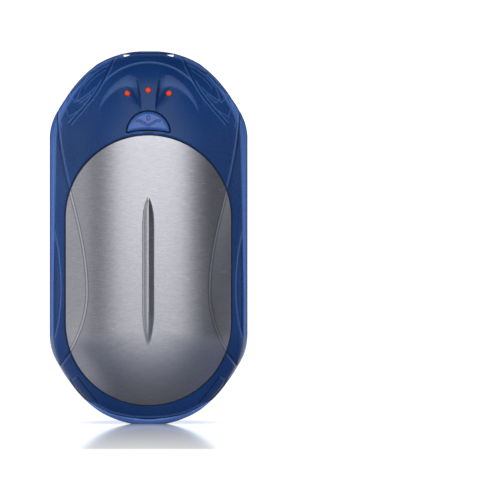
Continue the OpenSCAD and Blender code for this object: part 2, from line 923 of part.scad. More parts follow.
module top_holder() {
    color("#2b2b30") translate([0, 0, cell_high + tab_t + touch + holder_t])
        mirror([0, 0, 1]) holder();
}

// Foam strips between the cells and one cover
pad_room = (half_t - wall) * arch((cell_x + pad_w / 2) / (half_w - wall));
module pads() {
    both_sides(cell_x) translate([-pad_w / 2, -pad_room + loose, pad_low])
        cube([pad_w, pad_room - loose - cell_r - touch, pad_high - pad_low]);
}

module front_pads() {
    color("#55565c") pads();
}

module back_pads() {
    color("#55565c") mirror([0, 1, 0]) pads();
}

module thermistor() {
    color("#d7b46a") peg(0, bead_z, bead_r, half_t - wall - loose, half_t - seat_depth);
}

// A lead's insulation bulges a little where it bends
bend_share = 1.12;

// A lead through a list of places, as straight stretches with round corners
module lead(places, r) {
    for (i = [0:len(places) - 2]) {
        run = places[i + 1] - places[i];
        length = norm(run);
        translate(places[i]) rotate([0, acos(run[2] / length), atan2(run[1], run[0])])
            cylinder(h = length, r = r, $fn = 24);
    }
    for (i = [1:len(places) - 2]) translate(places[i]) sphere(r * bend_share, $fn = 24);
}

link_y = half_t - wall - link_depth;
module link_leads() {
    color("#c03028") for (i = [-1.5:1.5]) lead([
        [i * link_step, port_back + link_r + touch, port_high - lead_land],
        [i * link_step, link_y, port_high + loose],
        [i * link_step, link_y, main_low - loose],
        [i * link_step, -main_back + link_r + touch, main_low + lead_land]], link_r);
}

module cell_leads() {
    color("#c03028") {
        lead([[cell_x, 0, cell_high + tab_t + lead_r + touch],
            [cell_x, 0, main_low],
            [cell_x, -main_back + lead_r + touch, main_low + lead_land]], lead_r);
        lead([[-cell_x, 0, cell_low - tab_t - lead_r - touch],
            [-cell_x, 0, port_high],
            [-cell_x, -port_front - lead_r - touch, port_high - heater_land]], lead_r);
    }
}

lead_y = half_t - wall - lead_depth;
module heater_leads() {
    turn_z = cell_high + lead_rise;
    color("#a82820") for (i = [0:1]) for (side = [-1, 1]) {
        x = -film_port_x - i * lead_step;
        z = turn_z + (1 - i) * lead_row;
        land = side < 0 ? -main_front - lead_r - touch : -main_back + lead_r + touch;
        lead([[x, side * (half_t - seat_depth - loose), film_port_z],
            [x, side * lead_y, film_port_z], [x, side * lead_y, z],
            [x - lead_shift, side * lead_y, z],
            [x - lead_shift, side * lead_y, main_low + lead_r],
            [x - lead_shift, land, main_low + heater_land]], lead_r);
    }
}

module housing_screws() {
    color("#8c8f96") mirror([0, 1, 0]) for (s = SCREWS) {
        peg(s[0], s[1], head_r, screw_seat + touch, screw_seat + head_t);
        peg(s[0], s[1], shank_r, -shank_end, screw_seat + 2 * touch);
    }
}

// Short screw that holds a board on its post
module board_screw(x, z, head) {
    peg(x, z, fixing_head_r, head - touch - fixing_head_t, head - touch);
    peg(x, z, fixing_r, head - 2 * touch, head + board_t + fixing_len - loose);
}

module board_screws() {
    color("#8c8f96") {
        both_sides(post_x) board_screw(0, post_z, main_back);
        mirror([0, 1, 0]) both_sides(port_post_x) board_screw(0, port_post_z, -port_front);
    }
}

front_cover();
back_cover();
front_heat_plate();
back_heat_plate();
front_heater_film();
back_heater_film();
port_bezel();
strap_loop();
power_button();
switch_plunger();
tact_switch();
light_guide();
indicator_lamps();
main_board();
control_chip();
board_parts();
port_board();
usb_socket();
usb_tongue();
charge_chip();
power_inductor();
port_parts();
cell_left();
cell_right();
cell_wraps();
cell_insulators();
top_tab();
bottom_tab();
top_holder();
bottom_holder();
front_pads();
back_pads();
thermistor();
link_leads();
cell_leads();
heater_leads();
housing_screws();
board_screws();
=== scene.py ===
import json
import math

import bmesh
import bpy
import numpy as np
from bpy.props import FloatProperty, FloatVectorProperty, IntProperty, PointerProperty
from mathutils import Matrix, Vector

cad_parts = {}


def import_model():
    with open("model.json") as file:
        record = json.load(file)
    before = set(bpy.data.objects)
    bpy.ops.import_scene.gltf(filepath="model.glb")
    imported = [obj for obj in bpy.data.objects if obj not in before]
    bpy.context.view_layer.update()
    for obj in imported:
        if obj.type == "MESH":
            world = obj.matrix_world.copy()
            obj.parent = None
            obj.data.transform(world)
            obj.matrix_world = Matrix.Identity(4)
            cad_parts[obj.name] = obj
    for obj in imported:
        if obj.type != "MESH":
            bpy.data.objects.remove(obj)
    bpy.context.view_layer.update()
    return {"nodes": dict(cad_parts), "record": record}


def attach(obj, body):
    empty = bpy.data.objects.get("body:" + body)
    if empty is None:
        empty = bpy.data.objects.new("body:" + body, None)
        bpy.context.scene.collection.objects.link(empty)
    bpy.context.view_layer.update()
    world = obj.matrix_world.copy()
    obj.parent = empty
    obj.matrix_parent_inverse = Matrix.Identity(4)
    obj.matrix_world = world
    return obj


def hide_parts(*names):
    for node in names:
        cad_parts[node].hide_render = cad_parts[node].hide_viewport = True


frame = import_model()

bl_info = {
    "name": "Hand Warmer",
    "version": (1, 0, 0),
    "blender": (4, 5, 0),
    "location": "View3D > Sidebar > Warmer",
    "description": "Pebble-shaped hand warmer with brushed heat plates, made on the packed frame",
    "category": "Object",
}

# Lengths are in millimetres, and become metres where a point is placed
MM = 0.001

# ---- sizes and colours


class WarmerSizes(bpy.types.PropertyGroup):
    """Sizes of the hand warmer, in millimetres."""

    height: FloatProperty(
        name="Height", description="Height from the foot to the strap bar", default=110.0)
    half_width: FloatProperty(
        name="Half width", description="Half of the width across the sides", default=29.2)
    half_depth: FloatProperty(
        name="Half depth", description="Half of the thickness of the pebble", default=13.0)
    cap_top: FloatProperty(
        name="Top cap", description="Length of the rounded cap at the top", default=29.0)
    cap_bottom: FloatProperty(
        name="Bottom cap", description="Length of the rounded cap at the bottom", default=28.4)
    foot_cut: FloatProperty(
        name="Foot cut", description="How far the foot is cut into the cap", default=0.5)
    plate_radius: FloatProperty(
        name="Plate radius", description="Radius of the round ends of a plate", default=24.36)
    plate_low: FloatProperty(
        name="Plate low", description="Height of the lower end of a plate", default=5.6)
    plate_high: FloatProperty(
        name="Plate high", description="Height of the upper end of a plate", default=85.0)
    plate_gap: FloatProperty(
        name="Plate gap", description="Visible gap round a plate", default=0.2)
    button_radius: FloatProperty(
        name="Button radius", description="Radius of the button's round top", default=6.25)
    button_gap: FloatProperty(
        name="Button gap", description="Gap round the button", default=0.4)
    button_proud: FloatProperty(
        name="Button proud", description="How far the button stands out", default=0.45)
    hood_radius: FloatProperty(
        name="Hood radius", description="Radius of the hood line over the lamps", default=17.5)
    seam: FloatProperty(
        name="Seam", description="Depth of the parting line between the covers", default=0.25)


class WarmerColours(bpy.types.PropertyGroup):
    """Colours of the hand warmer, as linear light."""

    housing: FloatVectorProperty(
        name="Housing", description="Navy plastic", subtype="COLOR", default=(0.0065, 0.033, 0.13))
    bezel: FloatVectorProperty(
        name="Bezel", description="Foot bezel", subtype="COLOR", default=(0.1, 0.24, 0.64))
    button: FloatVectorProperty(
        name="Button", description="Button plastic", subtype="COLOR", default=(0.032, 0.1, 0.335))
    plate: FloatVectorProperty(
        name="Plate", description="Brushed plates", subtype="COLOR", default=(0.335, 0.335, 0.365))
    lamp: FloatVectorProperty(
        name="Lamp", description="Lit lamps", subtype="COLOR", default=(0.74, 0.05, 0.0))


class WarmerDetail(bpy.types.PropertyGroup):
    """How finely the curved shells are divided."""

    rows: IntProperty(name="Rows", description="Rows from the plate to the rim", default=100)
    plate_step: FloatProperty(
        name="Plate step", description="Size of a plate's faces, in millimetres", default=0.3)


def sizes():
    return bpy.context.scene.warmer_sizes


def colours():
    return bpy.context.scene.warmer_colours


# ---- form of the pebble

# Fullness of the section and of the two caps' outlines, two for an ellipse
SECTION_POWER, TOP_POWER, BOTTOM_POWER = 2.6, 2.0, 1.92
# Share of the way out at which the crease ends, and how wide the flat facet beyond it is
RIM_SHARE, FACET_SHARE = 0.985, 0.7
# The side crease: its narrowest place, and its ends as (distance from the middle, height)
CREASE_X, CREASE_Z = 18.05, 39.0
CREASE_TOP, CREASE_LOW = (26.65, 92.5), (26.25, 16.7)
# Height of the centre of the dish round the controls, and of its hood and brows
HOOD_Z = 89.25
# How much wider (+) or narrower (-) than a plain superellipse each cap's outline runs:
# degrees above or below the cap's centre, then the share of the reach
TOP_CORNERS = (
    (0, 2, 7, 12, 16, 20, 23, 27, 31, 36, 42, 47, 51, 55, 59, 69, 78, 90),
    (0, 0, 0.0085, 0.013, 0.0115, 0.006, 0, -0.0075, -0.0125, -0.0126, -0.0096, -0.0045, 0,
     0.0045, 0.0118, 0.0112, 0.0082, 0),
)
BOTTOM_CORNERS = (
    (0, 3, 7, 10, 15, 17.5, 21, 25, 30, 34, 39, 44, 50, 54, 58, 63, 90),
    (0, 0.002, 0.006, 0.0077, 0.005, 0, -0.007, -0.014, -0.0175, -0.0195, -0.017, -0.013,
     -0.0076, -0.0033, 0.0008, 0.0027, 0),
)
# Keeps a divisor from zero
TINY = 1e-6


def ease(value, start, end):
    """0 before start, 1 after end, and smooth between them."""
    t = np.clip((value - start) / (end - start), 0.0, 1.0)
    return t * t * (3 - 2 * t)


def fade(value, start, end):
    """1 before start, 0 after end, and smooth between them."""
    return 1 - ease(value, start, end)


def between(z, ends):
    return (z > ends[0]) & (z < ends[1])


def search(holds, near, far, turns=40):
    """Where a test that holds at near and fails at far changes, for each place."""
    for _ in range(turns):
        mid = (near + far) / 2
        held = holds(mid)
        near, far = np.where(held, mid, near), np.where(held, far, mid)
    return (near + far) / 2


def cap_centres():
    """Heights of the centres of the bottom and the top cap."""
    s = sizes()
    return s.cap_bottom - s.foot_cut, s.height - s.cap_top


def cap_reach(angle, top):
    """Radius of the outline in one direction from the centre of the top or bottom cap."""
    s = sizes()
    length, power = (s.cap_top, TOP_POWER) if top else (s.cap_bottom, BOTTOM_POWER)
    across, along = np.abs(np.cos(angle)), np.abs(np.sin(angle))
    reach = ((across / s.half_width) ** power + (along / length) ** power) ** (-1.0 / power)
    steep = np.degrees(np.arctan2(along, across))
    reach = reach * (1 + np.interp(steep, *(TOP_CORNERS if top else BOTTOM_CORNERS)))
    reach = np.minimum(reach, s.half_width / np.maximum(across, TINY))
    return np.minimum(reach, length / np.maximum(along, TINY))


def cap_outline(top):
    """Quarter of a cap's outline: distances from the middle line and from the cap's centre."""
    angle = np.linspace(0, math.pi / 2, 721)
    reach = cap_reach(angle, top)
    return reach * np.cos(angle), reach * np.sin(angle)


def outward(x, z):
    """For each place: its cap's centre, its distance from there, and the outline's."""
    low_z, top_z = cap_centres()
    centre = np.clip(z, low_z, top_z)
    angle = np.arctan2(z - centre, x)
    low = np.where(z < low_z, cap_reach(angle, False), sizes().half_width)
    reach = np.where(z > top_z, cap_reach(angle, True), low)
    return centre, np.hypot(x, z - centre), reach


def outline_half(z):
    """Half width of the outline at a height."""
    low_z, top_z = cap_centres()
    top_half, rise = cap_outline(True)
    low_half, fall = cap_outline(False)
    upper, lower = np.interp(z - top_z, rise, top_half), np.interp(low_z - z, fall, low_half)
    return np.minimum(upper, lower)


def plate_centres():
    """Heights of the centres of a plate's lower and upper round end."""
    s = sizes()
    return s.plate_low + s.plate_radius, s.plate_high - s.plate_radius


def plate_distance(x, z):
    """How far outside a plate's outline each place lies."""
    return np.hypot(x, z - np.clip(z, *plate_centres())) - sizes().plate_radius


def crease_at(z):
    """Distance of the side crease from the middle line at a height."""
    rise = np.clip((z - CREASE_Z) / (CREASE_TOP[1] - CREASE_Z), 0.0, 1.0)
    fall = np.clip((CREASE_Z - z) / (CREASE_Z - CREASE_LOW[1]), 0.0, None)
    upper = CREASE_X + (CREASE_TOP[0] - CREASE_X) * (1 - np.cos(math.pi * rise)) / 2
    lower = CREASE_X + (CREASE_LOW[0] - CREASE_X) * fall**2
    return np.where(z > CREASE_Z, upper, lower)


def crease_share(centre, reach, dx, dz):
    """Share of the way to the rim at which the crease is met."""
    def before(share):
        return share * reach * dx < crease_at(centre + share * reach * dz)

    return search(before, np.zeros_like(reach), np.full_like(reach, RIM_SHARE), 30)


def arch(d):
    """Height of the section, as a share, at a share of the way to the rim."""
    return np.clip(1 - np.abs(d) ** SECTION_POWER, 0, None) ** (1 / SECTION_POWER)


def section(d, crease):
    """Height of the section with the flat facet beyond the crease."""
    end = crease + (1 - crease) * FACET_SHARE
    flat = arch(crease) + (arch(end) - arch(crease)) * (d - crease) / (end - crease)
    return np.where((d > crease) & (d < end), flat, arch(d))


def front_depth(x, z):
    """Depth of the pebble's front at places inside its outline."""
    centre, length, reach = outward(x, z)
    away = np.maximum(length, TINY)
    dx = np.where(length > TINY, np.abs(x) / away, 1.0)
    dz = np.where(length > TINY, (z - centre) / away, 0.0)
    crease = crease_share(centre, reach, dx, dz)
    return sizes().half_depth * section(np.clip(length / reach, 0, 1), crease)


class Stations:
    """Places once round the outline, each with a centre, a direction and a reach."""

    def __init__(self, top, side, bottom):
        low_z, top_z = cap_centres()
        upper = np.linspace(0, math.pi, top, endpoint=False)
        lower = math.pi + np.linspace(0, math.pi, bottom, endpoint=False)
        down = np.linspace(top_z, low_z, side, endpoint=False)
        up = np.linspace(low_z, top_z, side, endpoint=False)
        ones, flat = np.ones(side), np.full(side, sizes().half_width)
        self.z = np.concatenate([np.full(top, top_z), down, np.full(bottom, low_z), up])
        self.dx = np.concatenate([np.cos(upper), -ones, np.cos(lower), ones])
        self.dz = np.concatenate([np.sin(upper), ones * 0, np.sin(lower), ones * 0])
        self.reach = np.concatenate([cap_reach(upper, True), flat, cap_reach(lower, False), flat])
        self.count = len(self.z)
        self.crease = crease_share(self.z, self.reach, np.abs(self.dx), self.dz)

    def plate_edge(self, gap):
        """Share of the way to the rim at which each station leaves a plate's opening."""
        def inside(far):
            return plate_distance(far * self.dx, self.z + far * self.dz) < gap

        return search(inside, np.zeros(self.count), self.reach) / self.reach


# ---- painted highlight lines, painted shade lines and sunk relief on the covers

# Each line is its half width and a chain of (distance from the middle line, height), on
# the left and the right alike
NOTCH_GROOVE = [
    (9.7, 108.6), (11.07, 105.7), (12.65, 102.7), (13.55, 100.99), (15.14, 98.2),
    (16.49, 96.3), (18.07, 94.33), (19.43, 92.7), (21.24, 90.7), (23.2, 88.4),
]
# Lines painted as highlights where edges catch the light: on both covers, then on the front only
BRIGHT_LINES = [
    (0.17, [(x - 0.45, z - 0.28) for x, z in NOTCH_GROOVE[1:]]),
    (0.15, [(x + 0.42, z + 0.3) for x, z in NOTCH_GROOVE[3:]]),
    (0.16, [(11.63, 105.96), (14.23, 104.61), (16.49, 102.8), (18.53, 100.65), (19.09, 99.52)]),
    (0.13, [(12.65, 104.38), (15.59, 102.35), (17.4, 100.65), (18.75, 98.85)]),
    (0.17, [(17.62, 103.37), (18.53, 101.78), (19.77, 99.3), (20.78, 96.81), (21.12, 95.23)]),
    (0.2, [(23.04, 97.49), (22.37, 95.68), (21.58, 94.78), (21.12, 95.23)]),
    (0.18, [(15.59, 99.3), (17.62, 97.38), (19.43, 96.14), (20.78, 95.23)]),
    (0.15, [(17.17, 97.15), (18.53, 95.8), (20.33, 94.55)]),
    (0.2, [(23.38, 96.59), (24.17, 94.1), (24.06, 92.52), (23.61, 90.49)]),
    (0.17, [(23.61, 90.49), (21.69, 91.62), (19.88, 92.86), (18.53, 94.33)]),
    (0.18, [(24.4, 95.91), (25.53, 92.52), (25.87, 89.36), (25.53, 87.55)]),
    (0.2, [(27.58, 56.78), (26.45, 50.91), (25.86, 44.54), (25.72, 40.13), (25.86, 35.24),
           (26.45, 30.34), (27.58, 25.44)]),
]
FRONT_BRIGHT = [
    (0.2, [(22.48, 20.89), (23.38, 20.1), (24.63, 18.63), (25.3, 17.73)]),
    (0.2, [(22.7, 12.87), (21.91, 13.32), (21.01, 14.11)]),
    (0.3, [(16.27, 6.21), (14.01, 5.08), (11.75, 3.95), (9.49, 3.16), (4.97, 2.25), (0.0, 2.03)]),
]
# Lines painted as shade and sunk as grooves: the notch groove on both covers, then on the front
# the valleys beside the rib and the lines round the foot
DARK_LINES = [(0.12, NOTCH_GROOVE)]
FRONT_DARK = [
    (0.3, [(3.3, 101.2), (2.95, 98.8), (2.6, 96.4)]),
    (0.2, [(2.6, 96.4), (2.3, 93.6)]),
    (0.35, [(22.82, 21.57), (24.29, 19.76), (25.9, 17.5)]),
    (0.14, [(21.01, 14.0), (19.43, 11.85), (17.62, 9.59), (15.36, 6.88), (14.8, 6.21)]),
    (0.28, [(23.04, 13.21), (22.14, 11.4), (20.33, 8.92), (18.07, 6.66), (16.27, 5.41),
            (14.01, 4.06), (11.75, 2.93), (9.49, 2.14), (4.97, 1.45), (0.0, 1.3)]),
]
# The lines of the back cover, then those of the front cover
BRIGHT = (BRIGHT_LINES, BRIGHT_LINES + FRONT_BRIGHT)
DARK = (DARK_LINES, DARK_LINES + FRONT_DARK)
# Corners of the sunk panels: two on a shoulder, from the notch down, and one at the foot
UPPER_PANEL = [
    (11.4, 105.9), (14.23, 104.61), (17.62, 103.37), (23.04, 97.49), (21.4, 95.0), (20.78, 95.23),
    (17.62, 97.38), (15.59, 99.3), (13.2, 102.6),
]
LOWER_PANEL = [(23.38, 96.59), (24.17, 94.1), (23.61, 90.49), (18.53, 94.33), (20.5, 95.1)]
FOOT_PANEL = [
    (22.7, 12.87), (21.01, 14.11), (19.43, 11.85), (17.62, 9.59), (15.36, 6.88), (14.8, 6.21),
    (18.07, 6.66), (20.33, 8.92),
]
# Heights, and half the width there of the painted highlight strip along each side
STRIP_WIDTH = ((20, 39, 60, 78, 90, 100), (0.32, 0.32, 0.6, 0.8, 1.0, 0.6))
# The finger scallop: the nearest place and the radius of its inner edge, its outer edge,
# and its ends
SCALLOP_X, SCALLOP_Z, SCALLOP_RADIUS, SCALLOP_OUTER = 25.67, 40.55, 53.5, 27.95
SCALLOP_ENDS = (25.4, 56.8)
# Heights between which the crease is cut into a cover, and painted on it as a highlight line
# beside a shade line
CREASE_CUT, CREASE_DRAWN = (15.5, 93), (22, 93.2)
# How far each feature sinks into a cover
GROOVE_SINK, UPPER_SINK, LOWER_SINK, FOOT_SINK = 0.2, 0.25, 0.22, 0.1
CREASE_SINK, SCALLOP_SINK, HOOD_SINK, PLATE_SINK = 0.18, 0.4, 0.34, 0.22
# The scoops under the brows, by degrees from upright round the dish's centre: their outer
# and inner edge, and how steep they are
BROW_OUTER = ([0, 14.1, 15.7, 20, 24, 80, 100], [10, 11.1, 13.66, 14.7, 15, 15, 15])
BROW_INNER = (
    [0, 20, 27.1, 32.7, 42.8, 61.6, 80.7, 100],
    [9.0, 10.5, 11.4, 12.4, 13.3, 13.98, 14.9, 14.98],
)
BROW_SLOPE = ([0, 15, 24, 60, 90], [0.22, 0.26, 0.3, 0.42, 0.46])
# Where the rib between the scoops ends, by height: its edge and the end of its slope
RIB_HEIGHTS, RIB_EDGE, RIB_END = [93, 97, 101.5], [2.1, 2.2, 2.9], [2.7, 3.1, 4.2]


def near_chain(x, z, chain):
    """Distance of each place to a chain of points."""
    best = np.full(x.shape, 1e9)
    for (ax, az), (bx, bz) in zip(chain, chain[1:]):
        run = np.array([bx - ax, bz - az])
        along = np.clip(((x - ax) * run[0] + (z - az) * run[1]) / (run @ run), 0, 1)
        best = np.minimum(best, np.hypot(x - ax - along * run[0], z - az - along * run[1]))
    return best


def within(x, z, corners):
    """True for the places inside a closed chain of points."""
    inside = np.zeros(x.shape, bool)
    for (ax, az), (bx, bz) in zip(corners, corners[1:] + corners[:1]):
        crosses = (az > z) != (bz > z)
        with np.errstate(divide="ignore", invalid="ignore"):
            inside ^= crosses & (x < (bx - ax) * (z - az) / (bz - az) + ax)
    return inside


def brows(x, z):
    """Depth of the two scoops under the brows, each side of the middle rib, and the share
    of their slope, where the front cover gets a painted highlight: a slope down from the
    outer edge, a crisp inner edge, and a floor that comes up to the button."""
    radius = np.hypot(x, z - HOOD_Z)
    turn = np.degrees(np.arctan2(x, z - HOOD_Z))
    outer, inner = np.interp(turn, *BROW_OUTER), np.interp(turn, *BROW_INNER)
    drop = np.interp(turn, *BROW_SLOPE) * np.clip(outer - np.maximum(radius, inner), 0, None)
    rib = ease(x, np.interp(z, RIB_HEIGHTS, RIB_EDGE), np.interp(z, RIB_HEIGHTS, RIB_END))
    wide = np.maximum(outer - inner, 0.3)
    slope = rib * ease((outer - radius) / wide, 0.0, 0.8) * ease(radius - inner, -0.15, 0.1)
    drop = rib * drop * np.where(radius > inner, 1.0, ease(z, 90.0, 98.5))
    return drop, slope * ease(z, 89.5, 91.5)


def cover_relief(x, z, front):
    """How far a cover's surface sinks at each place."""
    x = np.abs(x)
    grooves = [fade(near_chain(x, z, chain), 0.05, half + 0.15) for half, chain in DARK[front]]
    sink = GROOVE_SINK * sum(grooves)
    sink += UPPER_SINK * within(x, z, UPPER_PANEL) * ease(x + z, 114.0, 124.0)
    sink += LOWER_SINK * within(x, z, LOWER_PANEL)
    on_crease = between(z, CREASE_CUT) * fade(np.abs(x - crease_at(z) - 0.1), 0.05, 0.4)
    edge = SCALLOP_X + (z - SCALLOP_Z) ** 2 / (2 * SCALLOP_RADIUS)
    scallop = ease(x, edge, edge + 0.45) * ease(SCALLOP_OUTER - x, 0.0, 0.35)
    sink += CREASE_SINK * on_crease + SCALLOP_SINK * scallop * between(z, SCALLOP_ENDS)
    if front:
        radius = sizes().hood_radius
        inside = ease(radius - np.hypot(x, z - HOOD_Z), -0.05, 0.28)
        rise = np.clip((z - HOOD_Z) / radius, 0, 1)
        sink += HOOD_SINK * rise * inside * ease(z, 89.2, 91.0)
        sink += brows(x, z)[0] + FOOT_SINK * within(x, z, FOOT_PANEL)
    return sink + PLATE_SINK * fade(plate_distance(x, z) - sizes().plate_gap, 0.0, 0.5)


def cover_lines(x, z, front):
    """Shares of painted highlight, on edges, side strips and brow slopes, and of painted shade, in
    grooves, valleys and gaps, at each place of a cover.
    """
    x = np.abs(x)
    off_crease, off_plate = x - crease_at(z), plate_distance(x, z)
    drawn = between(z, CREASE_DRAWN)
    wide = np.interp(z, *STRIP_WIDTH)
    _, length, reach = outward(x, z)
    # A painted highlight strip along each side, a little inside the outline
    strip = fade(np.abs(reach - length - 0.55 - wide), wide * 0.35, wide) * ease(z, 17.0, 27.0)
    # Painted highlights: a line beside the side crease, and the side strips
    bright = [
        0.6 * drawn * fade(np.abs(off_crease + 0.28), 0.08, 0.34),
        0.78 * strip * fade(z, 94.0, 104.0),
    ]
    # Painted shade: a line in the side crease, and a band in the gap round the plate
    dark = [
        drawn * fade(np.abs(off_crease - 0.26), 0.1, 0.42),
        0.9 * fade(off_plate - sizes().plate_gap, 0.22, 0.5),
    ]
    # Painted highlights along the bright lines, and painted shade along the dark lines
    for half, chain in BRIGHT[front]:
        bright.append(0.6 * fade(near_chain(x, z, chain), half * 0.3, half + 0.04))
    for half, chain in DARK[front]:
        dark.append(fade(near_chain(x, z, chain), half * 0.4, half + 0.12))
    if front:
        # Painted highlights on the front: a line below the button, the brows' slopes and the hood
        # line
        land = fade(np.abs(off_plate - 1.05), 0.15, 0.5) * fade(x, 4.0, 7.5)
        hood = np.abs(np.hypot(x, z - HOOD_Z) - sizes().hood_radius)
        bright.append(0.55 * land * ease(z, 70.0, 80.0))
        bright.append(0.26 * brows(x, z)[1])
        bright.append(0.55 * ease(z, 100.5, 102.0) * fade(hood, 0.04, 0.2))
    return np.max(bright, axis=0), np.max(dark, axis=0)


# ---- openings

# Lamps as (across, height), and the radius of a lens
LAMPS, LENS_R = ((-6.15, 97.4), (-0.05, 98.35), (6.05, 97.4)), 0.8
# Button: height of its round top's centre above the plate, distance of its lower edge
# from the plate, and radius of its corners
BUTTON_RISE, BUTTON_LAND, BUTTON_CORNER = 0.8, 1.7, 0.8
# Strap piece: depths of its seat's lip and floor under the crown, the seat's thickness,
# half of its width, and the gap round it
SEAT_LIP, SEAT_FLOOR, SEAT_WALL, SADDLE_HALF, SADDLE_GAP = 1.45, 3.7, 1.56, 8.81, 0.08
# Strap piece: heights of the pocket's floor and lips and of the bar's middle, half of the
# pocket's width, the pocket's radius, how far its lips drop at the sides, and half of the
# bar's thickness
STRAP_FLOOR, STRAP_LIP, STRAP_BAR, STRAP_HALF = 106.3, 109.1, 108.95, 7.25
POCKET_ROUND, LIP_DROP, BAR_HALF = 8.7, 0.36, 1.7
# Port bezel: its half length, half thickness and fullness, the gap round it, and its top
BEZEL_HALF, BEZEL_MID, BEZEL_POWER, BEZEL_GAP, BEZEL_TOP = 18.5, 6.0, 2.4, 0.06, 11
# Mouth of the port: half of its thickness, half of its straight part, and its gap
PORT_ROUND, PORT_HALF, PORT_GAP = 1.63, 8.94 / 2 - 1.63, 0.22
# Gap round a plate and a lens, how far a lens is sunk and its flatness
PLATE_FIT, LENS_FIT, LENS_SINK, LENS_FLAT = 0.02, 0.02, 0.22, 0.5
# A field's value where nothing is cut
UNCUT = 9.0
# Depths of the covers' walls: at a plate's opening, the seat under the plate and the parting
# line; then at the strap piece and the bezel, the button and a lamp
OPENING_WALL, SEAT_WIDTH, RIM_WALL = 1.5, 0.8, 1.2
CUT_WALL, BUTTON_WALL, LAMP_WALL = 1.2, 2.2, 0.8
# Depths of the walls of the plates, the button, the strap piece and the bezel
PLATE_WALL, KEY_WALL, POCKET_WALL, BEZEL_WALL = 1.1, 2.4, 1.0, 1.6
# Places that the walls of the covers' upper and lower cut run towards
UPPER_AIM, LOWER_AIM = (0, 0, 95), (0, 0, 20)


def plate_field(x, y, z):
    """Negative outside a plate."""
    return -PLATE_FIT - plate_distance(x, z)


def button_gap_field(x, y, z):
    """Negative inside the button's opening in the front cover."""
    s = sizes()
    top = np.hypot(x, z - s.plate_high - BUTTON_RISE) - s.button_radius - s.button_gap
    to_plate = np.hypot(x, z - plate_centres()[1]) - s.plate_radius
    a, b = top + BUTTON_CORNER, BUTTON_LAND - s.button_gap - to_plate + BUTTON_CORNER
    rounded = np.minimum(np.maximum(a, b), 0) + np.hypot(np.maximum(a, 0), np.maximum(b, 0))
    return np.where(y < 0, rounded - BUTTON_CORNER, UNCUT)


def button_field(x, y, z):
    """Negative outside the button, seen from the front."""
    return -button_gap_field(x, np.full(np.shape(x), -1.0), z) - sizes().button_gap


def lip_depth(lip):
    """How far from the middle the crown lies at the height of a lip."""
    s = sizes()
    return s.half_depth * arch((lip - s.height + s.cap_top) / s.cap_top)


def saddle_field(x, y, z):
    """Negative where the strap piece takes the place of the covers."""
    top = sizes().height
    lip_y, sag = lip_depth(top - SEAT_LIP), SEAT_FLOOR - SEAT_LIP
    radius = (lip_y * lip_y + sag * sag) / (2 * sag)
    ring = np.hypot(y, z - (top - SEAT_FLOOR + radius)) - radius - SEAT_WALL
    return np.maximum(ring, np.abs(x) - SADDLE_HALF)


def strap_field(x, y, z):
    """Negative outside the strap piece."""
    return -saddle_field(x, y, z) - SADDLE_GAP


def bezel_distance(x, y, gap):
    """Distance, roughly, to the bezel's outline or to a gap round it: negative inside."""
    half, mid, power = BEZEL_HALF + gap, BEZEL_MID + gap, BEZEL_POWER
    value = ((np.abs(x) / half) ** power + (np.abs(y) / mid) ** power) ** (1 / power)
    return (value - 1) * mid


def bezel_field(x, y, z):
    """Negative where the port bezel takes the place of the covers."""
    return np.maximum(bezel_distance(x, y, BEZEL_GAP), z - BEZEL_TOP)


def bezel_outside(x, y, z):
    """Negative outside the port bezel, seen from below."""
    return -bezel_distance(x, y, 0.0)


def port_field(x, y, z):
    """Negative inside the mouth of the port."""
    return np.hypot(x - np.clip(x, -PORT_HALF, PORT_HALF), y) - PORT_ROUND - PORT_GAP


# ---- working a surface


def places(verts):
    """Places of the points, in millimetres."""
    return np.array([v.co for v in verts]) / MM


def boundary(bm):
    return [e for e in bm.edges if e.is_boundary]


def sheet(columns, rows, wide, high, middle=None):
    """Flat grid of faces of a size: lying, or standing across with its middle at a height."""
    bm = bmesh.new()
    bmesh.ops.create_grid(bm, x_segments=columns, y_segments=rows, size=1.0)
    for v in bm.verts:
        x, y = v.co.x * columns * wide / 2, v.co.y * rows * high / 2
        v.co = Vector((x, y, 0) if middle is None else (x, 0, middle + y)) * MM
    return bm


def place_along(bm, axis, values):
    """Sets one coordinate of each point."""
    for v, value in zip(bm.verts, values):
        v.co["xyz".index(axis)] = value * MM


def straight(way, distance):
    """A move by a distance, one way for all points."""
    return lambda co: Vector(way) * distance


def towards(place, distance):
    """A move by a distance towards a place."""
    return lambda co: (Vector(place) * MM - co).normalized() * distance


def inward(centres, distance):
    """A move towards the middle line between two centres, or beyond it towards the nearer."""
    low, high = centres

    def move(co):
        centre = Vector((0, co.y, min(max(co.z, low * MM), high * MM)))
        return (centre - co).normalized() * distance

    return move


def wall(bm, edges, move):
    """Runs a wall from some edges, with a crisp corner, and gives the wall's free edge."""
    for e in edges:
        e.smooth = False
    made = bmesh.ops.extrude_edge_only(bm, edges=edges)["geom"]
    for v in made:
        if isinstance(v, bmesh.types.BMVert):
            v.co += move(v.co) * MM
    return [e for e in made if isinstance(e, bmesh.types.BMEdge) and e.is_boundary]


# How far apart a field is read to find its slope, and the longest move of a snapped point
SLOPE_STEP, SNAP_REACH = 1e-3, 0.6


